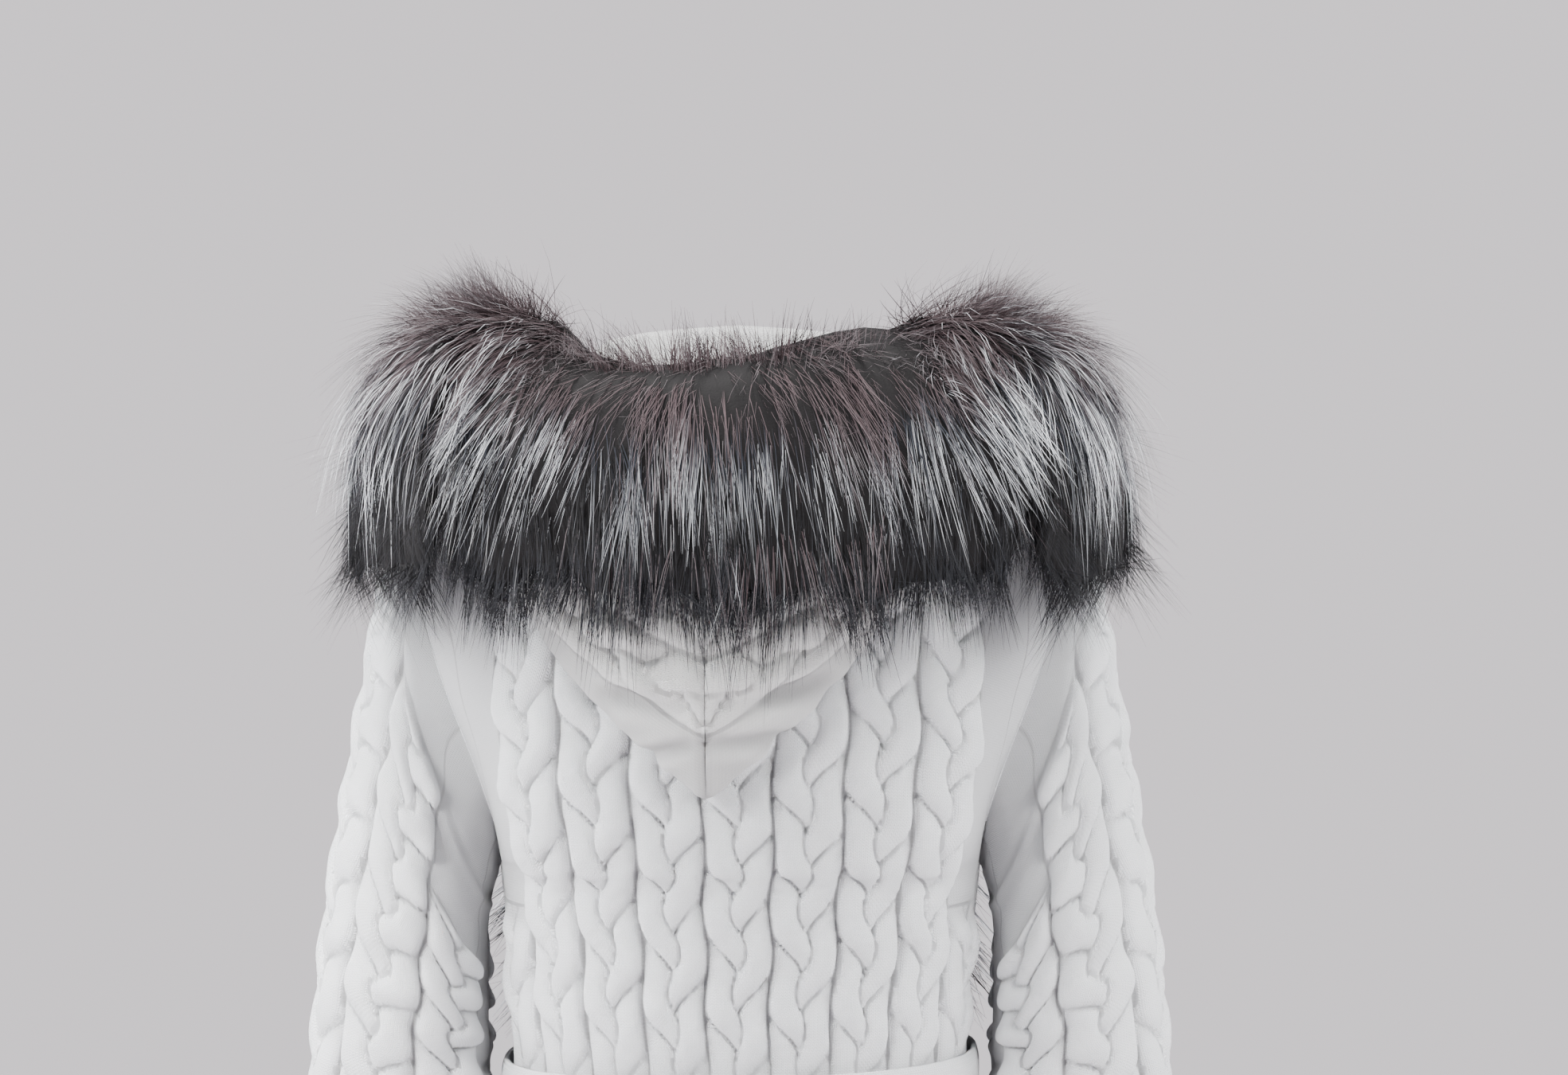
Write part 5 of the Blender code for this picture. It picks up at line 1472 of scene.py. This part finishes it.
@functools.lru_cache(maxsize=None)
def stitch_group():
    """Stocking stitch: small Vs in columns, with the cloth's fuzz, from a map in metres."""
    tree, g, given, end = new_group(
        "stocking_stitch",
        "ShaderNodeTree",
        (
            ("Map", "NodeSocketVector", None),
            ("Position", "NodeSocketVector", None),
            ("Stitch Width", "NodeSocketFloat", 0.0022),
            ("Row Height", "NodeSocketFloat", 0.0016),
            ("Fuzz", "NodeSocketFloat", 0.5),
        ),
        (("Height", "NodeSocketFloat"), ("Shade", "NodeSocketFloat")),
    )
    spot = g.add("ShaderNodeSeparateXYZ", given["Map"])
    u, v = spot, spot.node.outputs[1]
    across = g.math("DIVIDE", u, given["Stitch Width"])
    column = g.math("FRACT", across)
    lean = g.math("ABSOLUTE", g.math("SUBTRACT", column, 0.5))
    row = g.math("SUBTRACT", g.math("DIVIDE", v, given["Row Height"]), g.math("MULTIPLY", lean, 1.5))
    row = g.math("FRACT", row)
    leg = g.math("SINE", g.math("MULTIPLY", row, math.pi))
    gap = g.math("SINE", g.math("MULTIPLY", g.math("FRACT", g.math("MULTIPLY", across, 2.0)), math.pi))
    loops = g.math("MULTIPLY", leg, g.math("POWER", g.math("MAXIMUM", gap, 0.0), 0.6))
    fuzz = g.noise(given["Position"], 1500.0, 3.0)
    fuzz.node.inputs["Roughness"].default_value = 0.7
    lumps = g.noise(given["Position"], 260.0, 2.0)
    soft = g.math("MULTIPLY", g.math("SUBTRACT", 1.0, g.math("MULTIPLY", given["Fuzz"], 0.45)), loops)
    height = g.math("ADD", soft, g.math("MULTIPLY", g.math("ADD", fuzz, lumps), given["Fuzz"]))
    g.put(end.inputs["Height"], height)
    # Painted shade: darker between the loops, and a little darker where the fuzz's lumps are low.
    shade = g.math("MULTIPLY_ADD", loops, 0.20, 0.82)
    shade = g.math("MULTIPLY", shade, g.math("MULTIPLY_ADD", lumps, 0.08, 0.96))
    g.put(end.inputs["Shade"], shade)
    return tree


@functools.lru_cache(maxsize=None)
def ladder_group():
    """The purl ladders between cables: a line of small rungs where the panel map's columns meet, which the
    knit paints dark as shade in their groove.
    """
    tree, g, given, end = new_group(
        "purl_ladders",
        "ShaderNodeTree",
        (
            ("Map", "NodeSocketVector", None),
            ("Half Width", "NodeSocketFloat", 0.035),
            ("Rung", "NodeSocketFloat", 0.0027),
        ),
        (("Mask", "NodeSocketFloat"), ("Rungs", "NodeSocketFloat")),
    )
    spot = g.add("ShaderNodeSeparateXYZ", given["Map"])
    u, v = spot, spot.node.outputs[1]
    off = g.math("ABSOLUTE", g.math("SUBTRACT", g.math("FRACT", g.math("ADD", u, 0.5)), 0.5))
    mask = g.ramp(off, given["Half Width"], 0.0)
    rungs = g.math("FRACT", g.math("DIVIDE", v, given["Rung"]))
    rungs = g.math("SINE", g.math("MULTIPLY", rungs, math.pi))
    g.put(end.inputs["Mask"], mask)
    g.put(end.inputs["Rungs"], rungs)
    return tree


def shades(colour, share):
    """A colour, and the same a little darker."""
    return (*colour, 1), (*[part * share for part in colour], 1)


def new_material(name):
    """A material, as (material, graph, its shader, the place on the object)."""
    material = bpy.data.materials.new(name)
    material.use_nodes = True
    g = Graph(material.node_tree)
    return material, g, material.node_tree.nodes["Principled BSDF"], g.add("ShaderNodeTexCoord", out=3)


def knit_look(name, colour, shade, fuzz, stitch_width, row_height, ladders):
    """White knit: stitches, ladders painted dark as shade in their grooves, painted shade in the hollows
    between the cables and a soft bloom of loose fibre.
    """
    material, g, shader, where = new_material(name)
    stitches = g.add("ShaderNodeUVMap", uv_map="stitches")
    panel = g.add("ShaderNodeUVMap", uv_map="panel")
    relief = g.add("ShaderNodeAttribute", attribute_name="relief", out=2)
    loops = g.add(
        "ShaderNodeGroup",
        node_tree=stitch_group(),
        named={
            "Map": stitches,
            "Position": where,
            "Stitch Width": stitch_width,
            "Row Height": row_height,
            "Fuzz": fuzz,
        },
    )
    loop_shade = loops.node.outputs["Shade"]
    rungs = g.add("ShaderNodeGroup", node_tree=ladder_group(), named={"Map": panel})
    mask = g.math("MULTIPLY", rungs, ladders)
    rung = rungs.node.outputs["Rungs"]
    clouds = g.ramp(g.noise(where, 14.0, 2.0), 0.35, 0.65)
    tone = g.mix(clouds, *shades(colour, 0.965))
    # Painted shade in the hollows: where the relief is under 0.55, the colour is mixed towards dark grey,
    # down to a share of shade at the base.
    painted_hollow_shade = g.ramp(relief, 0.0, 0.55)
    painted_hollow_shade = g.math("MULTIPLY_ADD", painted_hollow_shade, 1 - shade, shade)
    # Painted shade in the purl ladders' grooves, with lighter rungs. This, the hollows' shade and the
    # loops' shade all mix the colour towards the dark grey below.
    dark = g.math("MULTIPLY", mask, g.math("MULTIPLY_ADD", rung, 0.35, 0.65))
    dark = g.math("MULTIPLY_ADD", dark, -0.60, 1.0)
    dark = g.math("MULTIPLY", g.math("MULTIPLY", dark, painted_hollow_shade), loop_shade)
    g.put(shader.inputs["Base Color"], g.mix(dark, (0.30, 0.295, 0.30, 1), tone))
    height = g.math("SUBTRACT", loops, g.math("MULTIPLY", mask, 1.5))
    g.put(shader.inputs["Normal"], g.bump(0.8, 0.0009, height))
    for title, value in (
        ("Roughness", 0.95),
        ("Specular IOR Level", 0.2),
        ("Sheen Weight", 0.25),
        ("Sheen Roughness", 0.6),
        ("Subsurface Weight", 0.12),
        ("Subsurface Radius", (1.0, 0.9, 0.8)),
        ("Subsurface Scale", 0.004),
    ):
        shader.inputs[title].default_value = value
    return material


@functools.lru_cache(maxsize=None)
def knit_material():
    look = bpy.context.scene.cardigan_knit
    sizes = (look.stitch_width, look.row_height)
    return knit_look("white_cable_knit", look.colour, 0.56, look.fuzz, *sizes, 1.0)


@functools.lru_cache(maxsize=None)
def hood_material():
    look = bpy.context.scene.cardigan_knit
    return knit_look("hood_knit", look.hood_colour, 0.46, look.fuzz, 0.0020, 0.0024, 0.0)


@functools.lru_cache(maxsize=None)
def belt_material():
    look = bpy.context.scene.cardigan_knit
    return knit_look("belt_knit", look.colour, 0.95, 0.3, 0.0026, 0.0020, 0.0)


@functools.lru_cache(maxsize=None)
def fur_material():
    """Silver fur: dark underfur, silver guard hair and a near-black stripe, by place and along the hair,
    with painted shade on the skin and at the roots.
    """
    look = bpy.context.scene.cardigan_fur
    material, g, shader, where = new_material("silver_fur")
    along, zone, lot = (
        g.add("ShaderNodeAttribute", attribute_name=title, out=2) for title in ("along", "zone", "lot")
    )
    patches = g.noise(where, 15.0, 3.0)
    off_middle = g.math("ABSOLUTE", g.add("ShaderNodeSeparateXYZ", where))
    middle = g.ramp(off_middle, 0.19, 0.07)
    zone = g.math("ADD", zone, g.math("MULTIPLY", g.math("SUBTRACT", lot, 0.5), 0.14))
    zone = g.math("ADD", zone, g.math("MULTIPLY", g.math("SUBTRACT", patches, 0.5), 0.42))
    zone = g.math("SUBTRACT", zone, g.math("MULTIPLY", middle, 0.05))
    zone = g.math("SUBTRACT", zone, g.ramp(off_middle, 0.16, 0.24, 0.0, 0.16))
    under = g.mix(g.ramp(zone, 0.08, 0.32), (*look.underfur, 1), (*look.shadow, 1))
    # Painted shade at the roots: the skin and the first part of each hair take the stripe's near-black.
    under = g.mix(g.ramp(along, 0.0, 0.30), (*look.stripe, 1), under)
    low = g.ramp(zone, 0.36, 0.50)
    bright = g.math("MULTIPLY", g.ramp(along, 0.34, 0.80), g.ramp(along, 1.02, 0.92, 0.55, 1.0))
    bright = g.math("MULTIPLY", bright, g.ramp(zone, 0.03, 0.28, 0.12, 1.0))
    bright = g.math("MULTIPLY", bright, g.ramp(lot, 0.12, 0.70, 0.10, 1.0))
    bright = g.math("MULTIPLY", bright, g.math("SUBTRACT", 1.0, g.math("MULTIPLY", middle, 0.35)))
    bright = g.math("MULTIPLY", bright, g.math("SUBTRACT", 1.0, g.math("MULTIPLY", low, 0.96)))
    colour = g.mix(bright, under, g.mix(low, (*look.guard, 1), (*look.low_guard, 1)))
    stripe = g.math("MULTIPLY", low, g.ramp(zone, 0.92, 0.66, 0.70, 0.95))
    stripe = g.math("MULTIPLY", stripe, g.ramp(along, 1.0, 0.72, 0.35, 1.0))
    colour = g.mix(stripe, colour, (*look.stripe, 1))
    g.put(shader.inputs["Base Color"], colour)
    g.put(shader.inputs["Normal"], g.bump(0.4, 0.0006, g.noise(where, 900.0, 2.0)))
    g.put(shader.inputs["Roughness"], g.math("MULTIPLY_ADD", lot, 0.15, 0.60))
    shader.inputs["Specular IOR Level"].default_value = 0.16
    return material


def plain_material(name, colour, grain):
    material, g, shader, where = new_material(name)
    g.put(shader.inputs["Base Color"], g.mix(g.noise(where, grain, 3.0), *shades(colour, 0.96)))
    shader.inputs["Roughness"].default_value = 0.85
    return material


# ---------------------------------------------------------------- seam stitches


@functools.lru_cache(maxsize=None)
def seam_tree():
    """Small linking stitches laid end to end along a line."""
    tree, g, given, end = new_group(
        "linking_stitches",
        "GeometryNodeTree",
        (
            ("Line", "NodeSocketGeometry", None),
            ("Step", "NodeSocketFloat", 0.0034),
            ("Yarn", "NodeSocketFloat", 0.0011),
            ("Knit", "NodeSocketMaterial", None),
        ),
        (("Geometry", "NodeSocketGeometry"),),
    )
    curve = g.add("GeometryNodeMeshToCurve", named={"Mesh": given["Line"]})
    spots = tree.nodes.new("GeometryNodeCurveToPoints")
    spots.mode = "LENGTH"
    g.put(spots.inputs["Curve"], curve)
    g.put(spots.inputs["Length"], given["Step"])
    bead = g.add("GeometryNodeMeshUVSphere", named={"Segments": 6, "Rings": 4, "Radius": 0.5})
    thin, long = g.math("MULTIPLY", given["Yarn"], 0.9), g.math("MULTIPLY", given["Step"], 1.15)
    named = {title: spots.outputs[title] for title in ("Points", "Rotation")}
    named.update({"Instance": bead, "Scale": g.join(thin, given["Yarn"], long)})
    laid = g.add("GeometryNodeInstanceOnPoints", named=named)
    whole = g.add("GeometryNodeRealizeInstances", named={"Geometry": laid})
    whole = g.add("GeometryNodeSetMaterial", named={"Geometry": whole, "Material": given["Knit"]})
    g.put(end.inputs[0], whole)
    return tree


def seam(name, points):
    """A row of linking stitches through the points."""
    mesh = bpy.data.meshes.new(name + "_line")
    mesh.from_pydata(points.tolist(), [(i, i + 1) for i in range(len(points) - 1)], [])
    line = linked(name + "_line", mesh)
    made = made_by(line, seam_tree(), {"Yarn": 0.0011, "Knit": knit_material()})
    bpy.data.objects.remove(line)
    made.name = name
    while made.uv_layers:
        made.uv_layers.remove(made.uv_layers[0])
    for title in ("stitches", "panel"):
        store_map(made, title, np.full((len(made.vertices), 2), 0.5))
    # A high relief throughout, so the knit paints almost no hollow shade on the stitches.
    store(made, "relief", np.full(len(made.vertices), 0.9))
    made.shade_smooth()
    thing = dressed(linked(name, made), knit_material())
    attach(thing, "root")


# ---------------------------------------------------------------- settings


class CardiganShape(bpy.types.PropertyGroup):
    """Sizes of the knit."""

    wall: bpy.props.FloatProperty(
        name="Wall", description="Thickness of the knit without its cables",
        default=0.003, min=0.001, unit="LENGTH",
    )
    cable_height: bpy.props.FloatProperty(
        name="Cable Height", description="How far the plaits stand off the knit",
        default=0.0085, unit="LENGTH",
    )
    hood_cable_height: bpy.props.FloatProperty(
        name="Hood Cable Height", description="The same on the hood", default=0.0080, unit="LENGTH"
    )
    knit_cell: bpy.props.FloatProperty(
        name="Back Cell", description="Size of the mesh's cells on the back",
        default=0.00225, min=0.0015, unit="LENGTH",
    )
    sleeve_cell: bpy.props.FloatProperty(
        name="Sleeve Cell", description="The same on the sleeves",
        default=0.0030, min=0.0015, unit="LENGTH",
    )
    front_cell: bpy.props.FloatProperty(
        name="Front Cell", description="The same on the fronts",
        default=0.0036, min=0.0015, unit="LENGTH",
    )
    hood_cell: bpy.props.FloatProperty(
        name="Hood Cell", description="The same on the hood", default=0.0030, min=0.0015, unit="LENGTH"
    )


class CardiganKnit(bpy.types.PropertyGroup):
    """Finish of the knit."""

    colour: bpy.props.FloatVectorProperty(
        name="Knit", description="Colour of the body and sleeves",
        subtype="COLOR", default=(0.83, 0.835, 0.85),
    )
    hood_colour: bpy.props.FloatVectorProperty(
        name="Hood", description="Colour of the hood", subtype="COLOR", default=(0.83, 0.82, 0.80)
    )
    fuzz: bpy.props.FloatProperty(
        name="Fuzz", description="Loose fibre over the stitches",
        default=0.55, min=0, max=1,
    )
    stitch_width: bpy.props.FloatProperty(
        name="Stitch Width", description="Across one stitch", default=0.0022, unit="LENGTH"
    )
    row_height: bpy.props.FloatProperty(
        name="Row Height", description="Up one row",
        default=0.0017, unit="LENGTH",
    )


class CardiganFur(bpy.types.PropertyGroup):
    """Sizes and colours of the fur."""

    hair_width: bpy.props.FloatProperty(
        name="Hair Width", description="Width of a hair at its root", default=0.00055, unit="LENGTH"
    )
    depth: bpy.props.FloatProperty(
        name="Depth", description="How deep under the solid's surface the hair starts",
        default=0.020, unit="LENGTH",
    )
    hairs: bpy.props.IntProperty(
        name="Hairs", description="Hairs on each piece of the ruff",
        default=17900,
    )
    band_hairs: bpy.props.IntProperty(
        name="Band Hairs", description="Hairs on each front band",
        default=7000,
    )
    underfur: bpy.props.FloatVectorProperty(
        name="Underfur", description="Colour where the fur parts on top",
        subtype="COLOR", default=(0.075, 0.052, 0.056),
    )
    shadow: bpy.props.FloatVectorProperty(
        name="Shadow", description="Colour of the roots below that",
        subtype="COLOR", default=(0.022, 0.025, 0.034),
    )
    guard: bpy.props.FloatVectorProperty(
        name="Guard Hair", description="Colour of the long hair",
        subtype="COLOR", default=(0.93, 0.955, 0.99),
    )
    low_guard: bpy.props.FloatVectorProperty(
        name="Lower Guard Hair", description="The same in the lower tier",
        subtype="COLOR", default=(0.42, 0.375, 0.32),
    )
    # The stripe's colour is also painted on the skin and at the hair roots, as shade.
    stripe: bpy.props.FloatVectorProperty(
        name="Stripe", description="Colour of the dark stripe",
        subtype="COLOR", default=(0.010, 0.009, 0.0095),
    )


class CardiganStage(bpy.types.PropertyGroup):
    """Floor and light."""

    backdrop: bpy.props.FloatVectorProperty(
        name="Backdrop", description="Colour around the cardigan",
        subtype="COLOR", default=(1.06, 1.0, 1.045),
    )
    ambient: bpy.props.FloatProperty(
        name="Ambient", description="Strength of the light from all round",
        default=0.20,
    )
    key_power: bpy.props.FloatProperty(
        name="Key Light", description="Power of the main soft light",
        default=100.0, unit="POWER",
    )
    side_power: bpy.props.FloatProperty(
        name="Side Lights", description="Power of the side lights",
        default=88.0, unit="POWER",
    )
    sleeve_power: bpy.props.FloatProperty(
        name="Sleeve Lights", description="Power of the narrow lights on the sleeves",
        default=3.0, unit="POWER",
    )
    fill_power: bpy.props.FloatProperty(
        name="Fill Light", description="Power of the fill lights",
        default=14.0, unit="POWER",
    )


# ---------------------------------------------------------------- operators

FLOOR_HALF = 2.6
FLOOR_Z = -1.15
CHEST_AT = (0, 0, -0.25)


def area_light(name, at, aim, size, power, colour, spread=math.pi):
    light = bpy.data.objects.new(name, bpy.data.lights.new(name, "AREA"))
    bpy.context.scene.collection.objects.link(light)
    light.data.size = size
    light.data.spread = spread
    light.data.energy = power
    light.data.color = colour
    light.location = at
    light.rotation_euler = (Vector(aim) - Vector(at)).to_track_quat("-Z", "Y").to_euler()


class CARDIGAN_OT_stage(bpy.types.Operator):
    """Set up the camera, the floor and the soft studio light"""

    bl_idname = "cardigan.stage"
    bl_label = "Stage"

    def execute(self, context):
        look = context.scene.cardigan_stage
        camera = bpy.data.objects.new("camera", bpy.data.cameras.new("camera"))
        context.scene.collection.objects.link(camera)
        camera.location = CAMERA_AT
        camera.rotation_euler = (math.pi / 2, 0, math.pi)
        camera.data.sensor_width = 36.0
        camera.data.lens = 36.0 * CAMERA_AT[1] / (IMAGE_SIZE[0] * METRES_PER_PIXEL)
        context.scene.camera = camera
        mesh = bpy.data.meshes.new("floor")
        signs = ((-1, -1), (1, -1), (1, 1), (-1, 1))
        corners = [(x * FLOOR_HALF, y * FLOOR_HALF, FLOOR_Z) for x, y in signs]
        mesh.from_pydata(corners, [], [(0, 1, 2, 3)])
        floor = dressed(linked("floor", mesh), plain_material("floor_paint", look.backdrop, 2.0))
        white, cool, warm = (1.0, 1.0, 1.0), (0.95, 0.975, 1.0), (1.0, 0.985, 0.965)
        for light in (
            ("key", (0.35, 0.75, 1.9), CHEST_AT, 0.6, look.key_power, warm),
            ("left_side", (1.9, 0.45, 0.8), CHEST_AT, 1.2, look.side_power, cool),
            ("right_side", (-1.9, 0.45, 0.8), CHEST_AT, 1.2, look.side_power * 0.75, (0.97, 0.985, 1.0)),
            ("front", (0.3, -2.2, 1.1), CHEST_AT, 2.0, look.fill_power, white),
            ("above", (0.0, 0.2, 2.3), CHEST_AT, 1.6, look.fill_power, (0.97, 0.98, 1.0)),
        ):
            area_light(*light)
        for name, side, share in (("left_sleeve", 1, 1.0), ("right_sleeve", -1, 0.6)):
            at, elbow = (side * 0.80, 0.85, 0.15), (side * 0.27, 0, -0.36)
            area_light(name, at, elbow, 0.4, look.sleeve_power * share, white, math.radians(50))
        world = bpy.data.worlds.new("backdrop")
        world.use_nodes = True
        seen = world.node_tree.nodes["Background"]
        seen.inputs["Color"].default_value = (*look.backdrop, 1)
        lit = world.node_tree.nodes.new("ShaderNodeBackground")
        lit.inputs["Color"].default_value = (0.80, 0.84, 0.90, 1)
        lit.inputs["Strength"].default_value = look.ambient
        path = world.node_tree.nodes.new("ShaderNodeLightPath")
        blend = world.node_tree.nodes.new("ShaderNodeMixShader")
        join = world.node_tree.links.new
        join(path.outputs["Is Camera Ray"], blend.inputs[0])
        join(lit.outputs[0], blend.inputs[1])
        join(seen.outputs[0], blend.inputs[2])
        join(blend.outputs[0], world.node_tree.nodes["World Output"].inputs["Surface"])
        context.scene.world = world
        return {"FINISHED"}


class CARDIGAN_OT_panels(bpy.types.Operator):
    """Make the back and both fronts, with their cables"""

    bl_idname = "cardigan.panels"
    bl_label = "Back and Fronts"

    def execute(self, context):
        torso_panel("back", "back", 1)
        torso_panel("front_left", "front", 1)
        torso_panel("front_right", "front", -1)
        return {"FINISHED"}


class CARDIGAN_OT_sleeves(bpy.types.Operator):
    """Make both sleeves and the linking stitches round the armholes"""

    bl_idname = "cardigan.sleeves"
    bl_label = "Sleeves"

    def execute(self, context):
        for name, sign in (("left", 1), ("right", -1)):
            sleeve_panel("sleeve_" + name, sign)
            line = (ARMHOLE + ARMHOLE_FACING * 0.0002)[:-1:2] * np.array([sign, 1, 1])
            seam("armhole_stitches_" + name, line)
        return {"FINISHED"}


class CARDIGAN_OT_hood(bpy.types.Operator):
    """Make the hood, folded down the back"""

    bl_idname = "cardigan.hood"
    bl_label = "Hood"

    def execute(self, context):
        hood_panel("hood_left", 1)
        hood_panel("hood_right", -1)
        return {"FINISHED"}


class CARDIGAN_OT_belt(bpy.types.Operator):
    """Make the tie belt with its knot and ends"""

    bl_idname = "cardigan.belt"
    bl_label = "Belt"

    def execute(self, context):
        belt_ring()
        belt_knot()
        belt_tail("left", 1)
        belt_tail("right", -1)
        return {"FINISHED"}


class CARDIGAN_OT_ruff(bpy.types.Operator):
    """Make the three pieces of the hood's fur ruff"""

    bl_idname = "cardigan.ruff"
    bl_label = "Fur Ruff"

    def execute(self, context):
        look = {"hairs": context.scene.cardigan_fur.hairs, "pull": 0.68, "width": 1.0}
        for seed, side in enumerate(("left", "centre", "right"), 11):
            coat("fur_hood_" + side, ruff_flow, seed, look)
        return {"FINISHED"}


class CARDIGAN_OT_bands(bpy.types.Operator):
    """Make the fur bands down both front edges"""

    bl_idname = "cardigan.bands"
    bl_label = "Fur Bands"

    def execute(self, context):
        look = {"hairs": context.scene.cardigan_fur.band_hairs, "pull": 0.6, "width": 2.0}
        for seed, (side, sign) in enumerate((("left", 1), ("right", -1)), 21):
            coat("fur_front_" + side, band_flow(sign), seed, look)
        return {"FINISHED"}


class CARDIGAN_PT_panel(bpy.types.Panel):
    """Lists the cardigan's settings and the steps that make it"""

    bl_idname = "CARDIGAN_PT_panel"
    bl_label = "Cardigan"
    bl_space_type = "VIEW_3D"
    bl_region_type = "UI"
    bl_category = "Cardigan"

    def draw(self, context):
        for group in SETTINGS:
            box = self.layout.box()
            settings = getattr(context.scene, group)
            for name in settings.__annotations__:
                box.prop(settings, name)
        for operator in OPERATORS:
            self.layout.operator(operator.bl_idname)


SETTINGS = {
    "cardigan_shape": CardiganShape,
    "cardigan_knit": CardiganKnit,
    "cardigan_fur": CardiganFur,
    "cardigan_stage": CardiganStage,
}
OPERATORS = (
    CARDIGAN_OT_stage,
    CARDIGAN_OT_panels,
    CARDIGAN_OT_sleeves,
    CARDIGAN_OT_hood,
    CARDIGAN_OT_belt,
    CARDIGAN_OT_ruff,
    CARDIGAN_OT_bands,
)


def register():
    for group in (*SETTINGS.values(), *OPERATORS, CARDIGAN_PT_panel):
        bpy.utils.register_class(group)
    for name, group in SETTINGS.items():
        setattr(bpy.types.Scene, name, bpy.props.PointerProperty(type=group))


def unregister():
    for name in SETTINGS:
        delattr(bpy.types.Scene, name)
    for group in (CARDIGAN_PT_panel, *reversed(OPERATORS), *reversed(SETTINGS.values())):
        bpy.utils.unregister_class(group)


def main():
    register()
    bpy.ops.cardigan.stage()
    bpy.ops.cardigan.panels()
    bpy.ops.cardigan.sleeves()
    bpy.ops.cardigan.hood()
    bpy.ops.cardigan.belt()
    bpy.ops.cardigan.ruff()
    bpy.ops.cardigan.bands()


if __name__ == "__main__":
    main()
